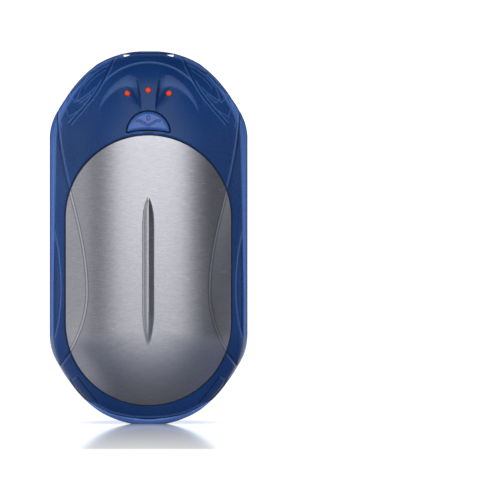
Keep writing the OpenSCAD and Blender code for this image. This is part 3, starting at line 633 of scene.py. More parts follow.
def carve(bm, field, move=None):
    """Cuts the surface where the field is negative, snaps the new edge onto the field's
    zero, and runs a wall from that edge."""
    gone = [v for v, f in zip(bm.verts, field(*places(bm.verts).T)) if f < 0]
    before = set(boundary(bm))
    bmesh.ops.delete(bm, geom=gone, context="VERTS")
    rim = [e for e in boundary(bm) if e not in before]
    verts = list({v for e in rim for v in e.verts})
    for _ in range(3):
        co = places(verts)
        value = field(*co.T)
        ahead = [field(*(co + SLOPE_STEP * axis).T) for axis in np.eye(3)]
        slope = np.stack([(a - value) / SLOPE_STEP for a in ahead], axis=1)
        size = np.maximum((slope**2).sum(1), TINY)
        for v, m in zip(verts, np.clip(-value / size, -SNAP_REACH, SNAP_REACH)[:, None] * slope):
            v.co += Vector(m) * MM
    if move:
        wall(bm, rim, move)


def face(bm, way):
    """Turns an open surface so that its faces mostly look one way."""
    bmesh.ops.recalc_face_normals(bm, faces=bm.faces)
    bm.normal_update()
    if sum(v.normal.dot(Vector(way)) for v in bm.verts) < 0:
        bmesh.ops.reverse_faces(bm, faces=bm.faces)
        bm.normal_update()


def skirt(bm, way, depth):
    """Turns an open surface to look one way, and runs a wall back from its edge."""
    face(bm, way)
    wall(bm, boundary(bm), straight(way, -depth))


def add(name, data):
    """Adds an object to the scene."""
    added = bpy.data.objects.new(name, data)
    bpy.context.scene.collection.objects.link(added)
    return added


def add_mesh(bm, name, material):
    """Turns a bmesh into an object of the scene."""
    mesh = bpy.data.meshes.new(name)
    bm.to_mesh(mesh)
    bm.free()
    mesh.materials.append(material)
    return add(name, mesh)


def finished(bm, name, material, node, body="housing"):
    """Turns a bmesh into a smooth piece that rides on a body and stands for a CAD node."""
    piece = add_mesh(bm, name, bpy.data.materials[material])
    for p in piece.data.polygons:
        p.use_smooth = True
    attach(piece, body)
    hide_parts(node)
    return piece


def store(piece, name, values):
    """Keeps a number for each point of a piece, which its finish reads."""
    layer = piece.data.attributes.new(name, "FLOAT", "POINT")
    layer.data.foreach_set("value", values.astype(np.float32))


# ---- pieces

# Faces along the top cap, each side and the bottom cap
CAP_FACES, SIDE_FACES, FOOT_FACES = 430, 80, 230
# How near the parting line and a plate's outline the edges of their openings lie
AT_RIM, AT_PLATE = 0.05, 0.6


def pebble_shell(front):
    """Half of the housing between a plate's opening and the parting line."""
    s = sizes()
    around = Stations(CAP_FACES, SIDE_FACES, FOOT_FACES)
    sign = -1 if front else 1
    bm = bmesh.new()
    rows = bpy.context.scene.warmer_detail.rows
    bmesh.ops.create_grid(bm, x_segments=around.count, y_segments=rows, size=1.0)
    grid = np.array([v.co for v in bm.verts])
    column = np.rint((grid[:, 0] + 1) / 2 * around.count).astype(int) % around.count
    share = (grid[:, 1] + 1) / 2
    turn_in = np.arcsin(around.plate_edge(s.plate_gap) ** (SECTION_POWER / 2))[column]
    d = np.sin(turn_in + (math.pi / 2 - turn_in) * share) ** (2 / SECTION_POWER)
    at_rim = share > 0.9999
    d[at_rim] = 1.0
    x = d * around.reach[column] * around.dx[column]
    z = around.z[column] + d * around.reach[column] * around.dz[column]
    y = s.half_depth * section(d, around.crease[column])
    y[at_rim] = 0.0
    for v, px, py, pz in zip(bm.verts, x, y, z):
        v.co = Vector((px, sign * py, pz)) * MM
    bmesh.ops.remove_doubles(bm, verts=bm.verts, dist=1e-7)
    face(bm, (0, sign, 0))
    co = places(bm.verts)
    sink = cover_relief(co[:, 0], co[:, 2], front) * ease(np.abs(co[:, 1]), 0.0, 1.2)
    for v, depth in zip(bm.verts, sink):
        v.co -= v.normal * (depth * MM)
    return bm


def close_edges(bm, sign):
    """Runs the plate's opening back to a narrow seat under the plate's edge, and turns the
    rim in at the parting line."""
    edges = boundary(bm)
    middle = places([v for e in edges for v in e.verts]).reshape(-1, 2, 3).mean(axis=1)
    to_plate = plate_distance(middle[:, 0], middle[:, 2])
    at_rim = np.abs(middle[:, 1]) < AT_RIM
    rim = [e for e, at in zip(edges, at_rim) if at]
    opening = [e for e, at in zip(edges, ~at_rim & (to_plate < AT_PLATE)) if at]
    seat = wall(bm, opening, straight((0, -sign, 0), OPENING_WALL))
    wall(bm, seat, inward(plate_centres(), SEAT_WIDTH))
    wall(bm, rim, inward(cap_centres(), RIM_WALL))
    groove = inward(cap_centres(), sizes().seam * 0.4)
    for v in {v for e in rim for v in e.verts}:
        v.co += groove(v.co) * MM


def cover_shell(front):
    """A cover's surface, open for the plate, the strap piece and the port bezel."""
    bm = pebble_shell(front)
    close_edges(bm, -1 if front else 1)
    carve(bm, saddle_field, towards(UPPER_AIM, CUT_WALL))
    carve(bm, bezel_field, towards(LOWER_AIM, CUT_WALL))
    return bm


def finish_cover(bm, name, node, front):
    piece = finished(bm, name, "Navy moulding", node)
    co = places(piece.data.vertices)
    bright, dark = cover_lines(co[:, 0], co[:, 2], front)
    # Keeps the shares of painted highlight and painted shade for the finish
    store(piece, "painted_highlight", bright)
    store(piece, "painted_shade", dark)


class WARMER_OT_front_cover(bpy.types.Operator):
    """Front cover with its hood, brows, shoulder panels, scallops and openings"""

    bl_idname = "warmer.front_cover"
    bl_label = "Front cover"

    def execute(self, context):
        bm = cover_shell(True)
        carve(bm, button_gap_field, straight((0, 1, 0), BUTTON_WALL))
        for lamp_x, lamp_z in LAMPS:
            def lamp_field(x, y, z):
                hole = np.hypot(x - lamp_x, z - lamp_z) - LENS_R - LENS_FIT
                return np.where(y < 0, hole, UNCUT)

            carve(bm, lamp_field, straight((0, 1, 0), LAMP_WALL))
        finish_cover(bm, "housing_front", "front_cover", True)
        return {"FINISHED"}


class WARMER_OT_back_cover(bpy.types.Operator):
    """Plain back cover with the same panels and scallops"""

    bl_idname = "warmer.back_cover"
    bl_label = "Back cover"

    def execute(self, context):
        finish_cover(cover_shell(False), "housing_back", "back_cover", False)
        return {"FINISHED"}


# Half width, lower and upper tip of the ridge, the lengths over which it narrows, and
# the power of that curve
RIDGE_HALF, RIDGE_LOW, RIDGE_HIGH = 1.62, 23.5, 67.1
RIDGE_LOW_RUN, RIDGE_HIGH_RUN, RIDGE_POWER = 11.5, 9.0, 2.7
RIDGE_HEIGHT = 0.6


def ridge_height(x, z):
    """Height of the plate's pointed middle ridge, with a sharp crest and sloping sides."""
    run = np.minimum((z - RIDGE_LOW) / RIDGE_LOW_RUN, (RIDGE_HIGH - z) / RIDGE_HIGH_RUN)
    taper = 1 - (1 - np.clip(run, 0, 1)) ** RIDGE_POWER
    rise = 1 - np.abs(x) / np.maximum(RIDGE_HALF * taper, 1e-4)
    return RIDGE_HEIGHT * np.clip(rise, 0, 1) * taper


def plate_shell(sign):
    """Pressed heat plate with its ridge, on the pebble's form."""
    s = sizes()
    step, tall = bpy.context.scene.warmer_detail.plate_step, s.plate_high - s.plate_low
    across, along = int(2 * s.plate_radius / step) + 4, int(tall / step) + 4
    across += across % 2
    bm = sheet(across, along, step, step, (s.plate_low + s.plate_high) / 2)
    carve(bm, plate_field)
    x, _, z = places(bm.verts).T
    place_along(bm, "y", sign * (front_depth(x, z) + ridge_height(x, z)))
    skirt(bm, (0, sign, 0), PLATE_WALL)
    return bm


class WARMER_OT_plates(bpy.types.Operator):
    """Brushed heat plates, front and back, with the pointed ridge"""

    bl_idname = "warmer.plates"
    bl_label = "Heat plates"

    def execute(self, context):
        sides = ((-1, "plate_front", "front_heat_plate"), (1, "plate_back", "back_heat_plate"))
        for sign, name, node in sides:
            finished(plate_shell(sign), name, "Brushed plate", node)
        return {"FINISHED"}


# The button's sign: an oval, as its centre's height and half sizes, and half a chevron
SIGN_Z, SIGN_HALF = 90.2, (0.42, 0.62)
SIGN_CHEVRON = [(0.0, 87.95), (1.4, 88.75), (2.3, 89.3), (3.4, 89.3)]
# The button's middle height, its faces' size, the radius of its dome, the width and the
# drop of its rounded edge, and the depth of its sign
BUTTON_MIDDLE, BUTTON_STEP, DOME_RADIUS = 89.2, 0.065, 60
BUTTON_EDGE, BUTTON_DROP, SIGN_SINK = 0.9, 0.75, 0.09


def sign_lines(x, z):
    """Distance to the sunk lines of the button's sign: a small oval over a wide chevron."""
    oval = np.abs(np.hypot(x / SIGN_HALF[0], (z - SIGN_Z) / SIGN_HALF[1]) - 1) * SIGN_HALF[0]
    return np.minimum(oval, np.abs(near_chain(np.abs(x), z, SIGN_CHEVRON) - 0.26))


class WARMER_OT_button(bpy.types.Operator):
    """Half-moon power button with a rounded edge and a sunk sign"""

    bl_idname = "warmer.button"
    bl_label = "Power button"

    def execute(self, context):
        s = sizes()
        bm = sheet(220, 130, BUTTON_STEP, BUTTON_STEP, BUTTON_MIDDLE)
        carve(bm, button_field)
        x, _, z = places(bm.verts).T
        off = x**2 + (z - s.plate_high - BUTTON_RISE) ** 2
        dome = DOME_RADIUS - np.sqrt(np.clip(DOME_RADIUS**2 - off, 0, None))
        edge = np.clip(button_field(x, 0, z) / BUTTON_EDGE, 0, 1)
        depth = s.half_depth + s.button_proud - dome - BUTTON_DROP * (1 - edge) ** 2
        place_along(bm, "y", SIGN_SINK * fade(sign_lines(x, z), 0.07, 0.16) - depth)
        skirt(bm, (0, -1, 0), KEY_WALL)
        piece = finished(bm, "button_cap", "Button moulding", "power_button",
                         body="button")
        x, _, z = places(piece.data.vertices).T
        store(piece, "sign_line", fade(sign_lines(x, z), 0.06, 0.18))
        return {"FINISHED"}


class WARMER_OT_lenses(bpy.types.Operator):
    """Three small domed lenses of the light guide, set in the scoops"""

    bl_idname = "warmer.lenses"
    bl_label = "Lamp lenses"

    def execute(self, context):
        bm = bmesh.new()
        x, z = np.array(LAMPS).T
        depth = front_depth(x, z) - cover_relief(x, z, True) - LENS_SINK
        for place in zip(x, -depth, z):
            made = bmesh.ops.create_uvsphere(bm, u_segments=32, v_segments=16, radius=LENS_R * MM)
            bmesh.ops.scale(bm, vec=(1, LENS_FLAT, 1), verts=made["verts"])
            bmesh.ops.translate(bm, vec=Vector(place) * MM, verts=made["verts"])
        finished(bm, "lamp_lenses", "Lamp window", "light_guide")
        return {"FINISHED"}


def top_height(x, y):
    """Height of the pebble's crown over a place seen from above."""
    s = sizes()
    share = np.maximum(arch(np.abs(y) / s.half_depth), TINY)
    half, rise = cap_outline(True)
    return s.height - s.cap_top + share * np.interp(np.abs(x) / share, half[::-1], rise[::-1])


def pocket_height(x, y):
    """Height of the strap pocket's floor, a round between a front and a back lip."""
    def sag(off):
        return 1 - np.sqrt(np.clip(1 - (off / POCKET_ROUND) ** 2, 0, 1))

    lip = STRAP_LIP - LIP_DROP * ease(np.abs(x), 5.2, 6.6)
    return STRAP_FLOOR + (lip - STRAP_FLOOR) * sag(y) / sag(lip_depth(lip))


class WARMER_OT_strap_piece(bpy.types.Operator):
    """Strap piece in the crown: a round pocket with a bar across it"""

    bl_idname = "warmer.strap_piece"
    bl_label = "Strap piece"

    def pocket(self):
        bm = sheet(180, 150, 0.1, 0.1)
        x, y, _ = places(bm.verts).T
        crown = top_height(x, y)
        low = np.minimum(crown, pocket_height(x, y))
        cheek = ease(np.abs(x), STRAP_HALF, STRAP_HALF + 0.12)
        place_along(bm, "z", low + (crown - low) * cheek)
        carve(bm, strap_field)
        skirt(bm, (0, 0, 1), POCKET_WALL)
        return bm

    def bar(self, bm):
        """Closed bar with a rounded square section, whose top follows the crown"""
        pocket = set(bm.faces)
        verts = bmesh.ops.create_grid(bm, x_segments=60, y_segments=28, size=1.0)["verts"]
        at = np.array([v.co for v in verts])
        turn = (at[:, 1] + 1) * math.pi
        side, lift = (np.sign(w) * np.abs(w) ** 0.5 for w in (np.cos(turn), np.sin(turn)))
        x, y = at[:, 0] * (STRAP_HALF + 0.1), BAR_HALF * side
        z = STRAP_BAR + (top_height(x, y) - 0.02 - STRAP_BAR) * (0.5 + 0.5 * lift)
        for v, *place in zip(verts, x, y, z):
            v.co = Vector(place) * MM
        bmesh.ops.remove_doubles(bm, verts=verts, dist=1e-7)
        bmesh.ops.recalc_face_normals(bm, faces=[f for f in bm.faces if f not in pocket])

    def execute(self, context):
        bm = self.pocket()
        self.bar(bm)
        finished(bm, "strap_holder", "Navy moulding", "strap_loop")
        return {"FINISHED"}


class WARMER_OT_bezel(bpy.types.Operator):
    """Lighter bezel round the charging port, flush with the foot"""

    bl_idname = "warmer.bezel"
    bl_label = "Port bezel"

    def execute(self, context):
        bm = sheet(240, 90, 0.16, 0.15)
        carve(bm, bezel_outside)
        carve(bm, port_field)
        x, y, _ = places(bm.verts).T

        def inside(z):
            return np.abs(y) < np.where(np.abs(x) < outline_half(z), front_depth(x, z), -1.0)

        z = search(inside, np.full(len(x), cap_centres()[0]), np.full(len(x), -1.0))
        place_along(bm, "z", np.maximum(z, 0.0))
        skirt(bm, (0, 0, -1), BEZEL_WALL)
        finished(bm, "foot_bezel", "Bezel moulding", "port_bezel")
        return {"FINISHED"}


# ---- shader words


class Value:
    """A socket with arithmetic: an expression on values adds its Math nodes."""

    def __init__(self, kit, socket):
        self.kit, self.socket = kit, socket

    def _math(self, operation, a, b=None):
        return self.kit.node("ShaderNodeMath", {"operation": operation}, (a, b))

    def __add__(self, other): return self._math("ADD", self, other)
    def __radd__(self, other): return self._math("ADD", other, self)
    def __sub__(self, other): return self._math("SUBTRACT", self, other)
    def __rsub__(self, other): return self._math("SUBTRACT", other, self)
    def __mul__(self, other): return self._math("MULTIPLY", self, other)
    def __rmul__(self, other): return self._math("MULTIPLY", other, self)
    def __truediv__(self, other): return self._math("DIVIDE", self, other)
    def __rtruediv__(self, other): return self._math("DIVIDE", other, self)
    def __pow__(self, other): return self._math("POWER", self, other)
    def __neg__(self): return self._math("MULTIPLY", self, -1.0)
    def abs(self): return self._math("ABSOLUTE", self)
    def sine(self): return self._math("SINE", self)
    def low(self, other): return self._math("MINIMUM", self, other)
    def high(self, other): return self._math("MAXIMUM", self, other)

    def ease(self, start, end):
        """0 before start, 1 after end, smooth between."""
        settings = {"interpolation_type": "SMOOTHSTEP"}
        inputs = {"Value": self, "From Min": start, "From Max": end}
        return self.kit.node("ShaderNodeMapRange", settings, inputs)

    def fade(self, start, end):
        """1 before start, 0 after end, smooth between."""
        return 1.0 - self.ease(start, end)

    def band(self, start, end):
        """1 near zero, on both sides, and 0 after end."""
        return self.abs().fade(start, end)


class Kit:
    """Nodes of one tree."""

    def __init__(self, owner, output):
        owner.use_nodes = True
        self.tree = owner.node_tree
        self.tree.nodes.clear()
        self.output = self.tree.nodes.new(output)

    def join(self, value, socket):
        if isinstance(value, Value):
            self.tree.links.new(value.socket, socket)
        elif value is not None:
            is_colour = socket.type == "RGBA" and len(value) == 3
            socket.default_value = (*value, 1.0) if is_colour else value

    def node(self, kind, settings=None, inputs=(), output=0):
        made = self.tree.nodes.new(kind)
        for key, value in (settings or {}).items():
            setattr(made, key, value)
        for key, value in inputs.items() if isinstance(inputs, dict) else enumerate(inputs):
            self.join(value, made.inputs[key])
        return Value(self, made.outputs[output])

    def axes(self, vector):
        return [self.node("ShaderNodeSeparateXYZ", {}, (vector,), output=i) for i in range(3)]

    def ray(self, kind):
        return self.node("ShaderNodeLightPath", output=kind)

    def mix(self, share, a, b):
        return self.node("ShaderNodeMixShader", {}, (share, a, b))


class Finish(Kit):
    """A material in the making."""

    def __init__(self, name):
        self.material = bpy.data.materials.new(name)
        super().__init__(self.material, "ShaderNodeOutputMaterial")
        self.shader = self.node("ShaderNodeBsdfPrincipled")
        self.join(self.shader, self.output.inputs[0])

    def place(self):
        """Object coordinates, in metres."""
        return self.node("ShaderNodeTexCoord", output="Object")

    def millimetres(self):
        return [axis * 1000.0 for axis in self.axes(self.place())]

    def noise(self, scale, detail=2.0, roughness=0.5):
        """Noise with a scale, in turns per metre, for all axes or for each."""
        size = scale if isinstance(scale, tuple) else (scale,) * 3
        scaled = self.node("ShaderNodeMapping", {}, {"Vector": self.place(), "Scale": size})
        inputs = {"Vector": scaled, "Scale": 1.0, "Detail": detail, "Roughness": roughness}
        return self.node("ShaderNodeTexNoise", {}, inputs)

    def attribute(self, name):
        return self.node("ShaderNodeAttribute", {"attribute_name": name}, output="Fac")

    def blend(self, share, a, b):
        return self.node("ShaderNodeMix", {"data_type": "RGBA"}, {0: share, 6: a, 7: b}, output=2)

    def bump(self, height, strength, distance):
        inputs = {"Strength": strength, "Distance": distance, "Height": height}
        return self.node("ShaderNodeBump", {}, inputs)

    def set(self, **values):
        for name, value in values.items():
            self.join(value, self.shader.socket.node.inputs[name.replace("_", " ")])


# ---- finishes


def tint(colour, factor):
    return tuple(min(1.0, c * factor) for c in colour)


def clouded(f, base, scale, darker, lighter):
    """A colour that wanders between a darker and a lighter tint."""
    return f.blend(f.noise(scale).ease(0.35, 0.7), tint(base, darker), tint(base, lighter))


def navy_moulding():
    f = Finish("Navy moulding")
    dark = f.attribute("painted_shade")
    colour = clouded(f, colours().housing, 60, 0.9, 1.12)
    # Painted highlights and painted shade from the cover's lines, over the clouded navy
    colour = f.blend(f.attribute("painted_highlight") * 0.85, colour, (0.075, 0.17, 0.45))
    colour = f.blend(dark * 0.8, colour, (0.004, 0.008, 0.03))
    grain = f.noise(2600)
    f.set(Base_Color=colour, Roughness=0.25 + grain * 0.06 + dark * 0.2)
    f.set(Normal=f.bump(grain, 0.1, 0.00002), IOR=1.37, Specular_Tint=(0.72, 0.88, 1.0))


# The metal where an edge of the relief catches the light
LIT_METAL = (0.75, 0.75, 0.78)


def brushed_plate():
    """Upright hair lines, the sunk double crease line with painted shade in it, and painted
    highlights and shade on the crease and the ridge.
    """
    f = Finish("Brushed plate")
    base = colours().plate
    hair, short = f.noise((450, 450, 3400), 3.0, 0.65), f.noise((1300, 1300, 4200), 2.0, 0.6)
    streak = hair * 0.6 + short * 0.4
    across, _, z = f.millimetres()
    x = across.abs()
    rise = ((z - CREASE_Z) / (CREASE_TOP[1] - CREASE_Z)).high(0.0).low(1.0)
    upper = 0.5 - (rise * math.pi + math.pi / 2).sine() * 0.5
    fall = ((CREASE_Z - z) / (CREASE_Z - CREASE_LOW[1])).high(0.0)
    wider = upper * (CREASE_TOP[0] - CREASE_X) + fall * fall * (CREASE_LOW[0] - CREASE_X)
    off = x - (CREASE_X + wider)
    double = (off.abs() - 0.38).band(0.06, 0.26)
    crease_highlight = off.band(0.1, 0.36)
    run = ((z - RIDGE_LOW) / RIDGE_LOW_RUN).low((RIDGE_HIGH - z) / RIDGE_HIGH_RUN)
    taper = 1.0 - (1.0 - run.high(0.0).low(1.0)) ** RIDGE_POWER
    side = x / (taper.high(0.02) * RIDGE_HALF)
    fine = (side - 0.72).band(0.05, 0.16).high((side - 0.4).band(0.04, 0.14))
    foot = (side - 1.0).band(0.04, 0.16) * taper.ease(0.0, 0.2)
    crest = (across + 0.28).band(0.06, 0.34) * taper.ease(0.3, 0.8)
    left = (side - 0.86).band(0.03, 0.1) * (-across).ease(0.0, 0.2)
    colour = f.blend(streak.ease(0.3, 0.72), tint(base, 0.88), tint(base, 1.08))
    # Painted shade in fine grooves on the ridge's slope and in the crease at its foot
    drawn = (fine * taper.ease(0.1, 0.5) * 0.26).high(foot * 0.2)
    colour = f.blend(drawn, colour, (0.12, 0.12, 0.13))
    # Painted highlights on the ridge's crest, on a line of its left slope, and along the side
    # crease
    colour = f.blend(crest.high(left * 0.6) * 0.5, colour, LIT_METAL)
    colour = f.blend(crease_highlight * 0.25, colour, LIT_METAL)
    # Painted shade in the double crease line, which the bump also sinks
    colour = f.blend(double * 0.55, colour, (0.1, 0.1, 0.11))
    f.set(Base_Color=colour, Metallic=1.0, Roughness=0.22 + streak * 0.08)
    f.set(Normal=f.bump(streak * 0.25 - double * 0.8, 0.2, 0.00005))


def coated_moulding(name, base, cloud, scale, relief):
    f = Finish(name)
    grain, colour = f.noise(scale), clouded(f, base, cloud, 0.92, 1.1)
    f.set(Base_Color=colour, Roughness=0.3 + grain * 0.1, Normal=f.bump(grain, relief, 0.00002))
    f.set(Coat_Weight=0.2, Coat_Roughness=0.15)
    return f, colour


def bezel_moulding():
    coated_moulding("Bezel moulding", colours().bezel, 90, 2400, 0.12)


def button_moulding():
    f, colour = coated_moulding("Button moulding", colours().button, 160, 2600, 0.1)
    f.set(Base_Color=f.blend(f.attribute("sign_line") * 0.8, colour, (0.015, 0.04, 0.17)))


def lamp_window():
    f = Finish("Lamp window")
    base = tuple(colours().lamp)
    swirl = f.noise(900, 1.0)
    colour = f.blend(swirl.ease(0.3, 0.7), tint(base, 0.9), base)
    f.set(Base_Color=colour, Roughness=0.4 + swirl * 0.1, Emission_Color=colour)
    f.set(Emission_Strength=0.22, Specular_IOR_Level=0.2)


# The finishes in sight, by the slots of the CAD nodes that share them
SHOWN_FINISHES = {
    "navy_plastic": "Navy moulding",
    "satin_aluminium": "Brushed plate",
    "bezel_plastic": "Bezel moulding",
    "strap_plastic": "Navy moulding",
    "button_plastic": "Button moulding",
    "light_guide": "Lamp window",
    "lamp": "Lamp window",
}
# The finishes inside: base colour, roughness, metal share, pattern scale, and how strongly
# the pattern shows in colour and in relief
PLAIN_FINISHES = {
    "heater_film": ((0.55, 0.22, 0.05), 0.35, 0.0, (900, 900, 260), 0.35, 0.3),
    "plunger_plastic": ((0.62, 0.6, 0.52), 0.5, 0.0, 1500, 0.1, 0.2),
    "switch_plastic": ((0.02, 0.02, 0.024), 0.5, 0.0, 1500, 0.3, 0.3),
    "circuit_board": ((0.015, 0.12, 0.05), 0.4, 0.0, 700, 0.4, 0.3),
    "chip": ((0.015, 0.015, 0.017), 0.55, 0.0, 2500, 0.25, 0.3),
    "small_parts": ((0.4, 0.3, 0.18), 0.4, 0.3, 1800, 0.3, 0.2),
    "socket_steel": ((0.62, 0.62, 0.64), 0.25, 1.0, (300, 300, 3000), 0.12, 0.2),
    "black_plastic": ((0.016, 0.016, 0.018), 0.45, 0.0, 1500, 0.3, 0.3),
    "ferrite": ((0.05, 0.05, 0.055), 0.7, 0.0, 2200, 0.3, 0.5),
    "cell_can": ((0.55, 0.56, 0.58), 0.3, 1.0, (60, 60, 2500), 0.12, 0.15),
    "cell_wrap": ((0.03, 0.25, 0.12), 0.25, 0.0, (160, 160, 900), 0.12, 0.2),
    "insulator": ((0.72, 0.7, 0.62), 0.8, 0.0, 1500, 0.15, 0.4),
    "nickel": ((0.6, 0.57, 0.5), 0.28, 1.0, (2500, 120, 120), 0.12, 0.2),
    "foam": ((0.05, 0.05, 0.055), 0.95, 0.0, 1800, 0.4, 0.8),
    "thermistor_glass": ((0.5, 0.28, 0.08), 0.15, 0.0, 900, 0.2, 0.1),
    "lead": ((0.4, 0.02, 0.015), 0.45, 0.0, 600, 0.12, 0.2),
    "screw_steel": ((0.42, 0.43, 0.45), 0.32, 1.0, (1800, 1800, 300), 0.15, 0.2),
}


def plain_finish(slot, colour, roughness, metal, scale, show, relief):
    f = Finish("Inner " + slot.replace("_", " "))
    pattern = f.noise(scale, 3.0, 0.6)
    mixed = f.blend(pattern.ease(0.3, 0.7), tint(colour, 1 - show), tint(colour, 1 + show))
    f.set(Base_Color=mixed, Roughness=roughness - 0.06 + pattern * 0.12, Metallic=metal)
    f.set(Normal=f.bump(pattern, relief, 0.00003))
    return f.material


class WARMER_OT_finishes(bpy.types.Operator):
    """Makes the materials and gives the CAD pieces theirs"""

    bl_idname = "warmer.finishes"
    bl_label = "Finishes"

    def execute(self, context):
        for make in (navy_moulding, brushed_plate, bezel_moulding, button_moulding, lamp_window):
            make()
        inner = {slot: plain_finish(slot, *row) for slot, row in PLAIN_FINISHES.items()}
        for part in frame["record"]["subparts"]:
            slot = part["material_slot"]
            node = frame["nodes"][part["node"]]
            node.data.materials.clear()
            node.data.materials.append(inner.get(slot) or bpy.data.materials[SHOWN_FINISHES[slot]])
        return {"FINISHED"}


# ---- stage

# Millimetres to a pixel of the picture, its side, and the object's middle and foot in it
PIXEL, PICTURE, MIDDLE_PIXEL, FOOT_PIXEL = 0.2953, 500, 148.64, 423.7
# The camera's focal length and the width of its sensor
LENS, SENSOR = 1000.0, 36.0
# Middle of the object, in metres
AIM = (0, 0, 0.055)
# Lamps: name, place, target, width, height, watts, and whether reflections leave it out
STUDIO_LAMPS = (
    ("box", (0.01, -0.6, 0.325), (0.01, 0, 0.325), 0.24, 0.57, 0.9, False),
    ("left key", (-0.55, -0.75, 0.13), AIM, 0.4, 0.4, 3.6, True),
    ("right key", (0.6, -0.7, 0.13), AIM, 0.4, 0.4, 2.6, True),
    ("left strip", (-0.6, -0.12, 0.2), AIM, 0.1, 0.5, 0.9, True),
    ("right strip", (0.6, -0.1, 0.2), AIM, 0.1, 0.5, 0.9, True),
)


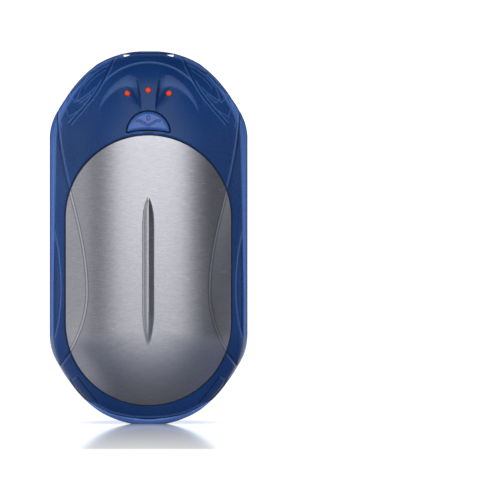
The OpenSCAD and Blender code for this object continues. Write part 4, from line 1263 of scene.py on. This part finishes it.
class WARMER_OT_stage(bpy.types.Operator):
    """Pale glossy floor, soft lamps, white surroundings and the camera"""

    bl_idname = "warmer.stage"
    bl_label = "Stage"

    def floor(self):
        """Round floor that fades out, polished in front of the object"""
        bm = bmesh.new()
        bmesh.ops.create_circle(bm, cap_ends=True, segments=96, radius=1.2)
        f = Finish("Pale floor")
        x, y, _ = f.millimetres()
        left, right, front = -x, x, -y
        radius = f.node("ShaderNodeVectorMath", {"operation": "LENGTH"}, (f.place(),), output=1)
        camera, glossy = f.ray("Is Camera Ray"), f.ray("Is Glossy Ray")
        pale = f.blend(f.noise(40), (0.6, 0.61, 0.63), (0.64, 0.64, 0.66))
        pale = f.blend(glossy, pale, (0.5, 0.51, 0.54))
        # For the camera the floor's own colour is a painted light blue, seen only through the
        # painted shadow round the foot
        f.set(Base_Color=f.blend(camera, pale, (0.5, 0.68, 1.0)), Roughness=0.5)
        # How much of the floor is polished: most at the foot, up to a straight front edge
        polish = (0.82 + y * 0.00075).high(0.0) * front.ease(-5.0, 5.0) * camera
        polish = polish * front.fade(505.0, 545.0) * x.band(40.0, 90.0)
        polish = polish * f.node("ShaderNodeLayerWeight", output="Facing").ease(0.9, 0.98)
        # Painted bluish shadow round the foot, where the white gives way to the floor's own colour
        beside, away = x / 23.0, (y - 30.0) / 75.0
        painted_shadow = (beside * beside + away * away).fade(0.25, 1.25)
        white = (camera * (1.0 - painted_shadow * 0.42)).high(glossy * y.ease(10.0, 60.0))
        # What the metal sees: a painted glow in the floor, seen only in reflections, brighter
        # further out and most of it to the left
        lean = 1.0 + left.ease(0.0, 220.0) * 0.55 - right.ease(0.0, 200.0) * 0.5
        aslant = x / front.high(20.0)
        ahead = radius.ease(0.03, 0.4) * lean * (0.55 - aslant.abs().ease(0.1, 0.5) * 0.25)
        aside = left.ease(8.0, 45.0) * (-aslant).ease(0.45, 1.2) * 0.5
        white = white.high(glossy * ahead).high(glossy * aside)
        glow = f.node("ShaderNodeEmission", {}, {"Strength": 1.12})
        mirror = f.node("ShaderNodeBsdfAnisotropic", {},
                        {"Color": (0.84, 0.93, 1), "Roughness": 0.045})
        top = f.mix(polish, f.mix(white, f.shader, glow), mirror)
        whole = f.mix(radius.ease(0.9, 1.18), top, f.node("ShaderNodeBsdfTransparent"))
        f.join(whole, f.output.inputs[0])
        add_mesh(bm, "floor", f.material)

    def lamp(self, name, place, target, width, height, watts, soft):
        light = bpy.data.lights.new(name, "AREA")
        light.shape, light.size, light.size_y = "RECTANGLE", width, height
        light.energy = watts
        lamp = add(name, light)
        lamp.location = place
        lamp.visible_camera, lamp.visible_glossy = False, not soft
        lamp.rotation_euler = (Vector(target) - Vector(place)).to_track_quat("-Z", "Y").to_euler()

    def surroundings(self):
        """White for the camera; darker walls with lighter sides for the object"""
        world = bpy.data.worlds.new("Studio")
        bpy.context.scene.world = world
        k = Kit(world, "ShaderNodeOutputWorld")
        x, y, z = k.axes(k.node("ShaderNodeTexCoord", output="Generated"))
        turn = k.node("ShaderNodeMath", {"operation": "ARCTAN2"}, (x, -y))
        rise = k.node("ShaderNodeMath", {"operation": "ARCSINE"}, (z,))
        left = (-turn).ease(0.34, 0.52) * 0.82 + (-turn).ease(0.8, 1.2) * 0.2
        right = turn.ease(0.7, 1.3) * 0.4
        sides = (left + right + 0.09) * (1.0 - rise.ease(0.25, 0.8) * 0.95)
        sides = sides * y.fade(0.1, 0.35)
        centre = (turn - 0.02).band(0.12, 0.45) * rise.band(0.05, 0.2)
        behind = y.ease(0.9, 0.97) * x.band(0.05, 0.12) * z.band(0.05, 0.15)
        camera = k.ray("Is Camera Ray")
        level = (sides + centre * 0.8 + behind * 1.2).high(camera)
        rim = y.ease(0.35, 0.55) * y.fade(0.8, 0.93) * (1.0 - camera)
        white = k.node("ShaderNodeBackground", {}, ((1, 1, 1), level))
        cool = k.node("ShaderNodeBackground", {}, ((0.27, 0.44, 1), 1.9))
        k.join(k.mix(rim, white, cool), k.output.inputs[0])

    def camera(self):
        data = bpy.data.cameras.new("camera")
        data.lens, data.clip_end = LENS, 20.0
        camera = add("camera", data)
        half = PICTURE / 2
        away = PICTURE * LENS / SENSOR
        camera.location = Vector((half - MIDDLE_PIXEL, -away, FOOT_PIXEL - half)) * PIXEL * MM
        camera.rotation_euler = (math.pi / 2, 0, 0)
        bpy.context.scene.camera = camera

    def execute(self, context):
        self.floor()
        self.surroundings()
        self.camera()
        for lamp in STUDIO_LAMPS:
            self.lamp(*lamp)
        bpy.context.scene.view_settings.view_transform = "Standard"
        return {"FINISHED"}


# ---- panel and run


class WARMER_PT_panel(bpy.types.Panel):
    """Lists the pieces and their sizes"""

    bl_label = "Hand warmer"
    bl_space_type = "VIEW_3D"
    bl_region_type = "UI"
    bl_category = "Warmer"

    def draw(self, context):
        for operator in OPERATORS:
            self.layout.operator(operator.bl_idname)
        for group, name in GROUPS:
            for size in group.__annotations__:
                self.layout.prop(getattr(context.scene, name), size)


OPERATORS = (
    WARMER_OT_stage,
    WARMER_OT_finishes,
    WARMER_OT_front_cover,
    WARMER_OT_back_cover,
    WARMER_OT_plates,
    WARMER_OT_button,
    WARMER_OT_lenses,
    WARMER_OT_strap_piece,
    WARMER_OT_bezel,
)
GROUPS = (
    (WarmerSizes, "warmer_sizes"),
    (WarmerColours, "warmer_colours"),
    (WarmerDetail, "warmer_detail"),
)


def register():
    for group, name in GROUPS:
        bpy.utils.register_class(group)
        setattr(bpy.types.Scene, name, PointerProperty(type=group))
    for made in (*OPERATORS, WARMER_PT_panel):
        bpy.utils.register_class(made)


def unregister():
    for made in (WARMER_PT_panel, *reversed(OPERATORS)):
        bpy.utils.unregister_class(made)
    for group, name in reversed(GROUPS):
        delattr(bpy.types.Scene, name)
        bpy.utils.unregister_class(group)


def main():
    register()
    for operator in OPERATORS:
        group, name = operator.bl_idname.split(".")
        getattr(getattr(bpy.ops, group), name)()


if __name__ == "__main__":
    main()
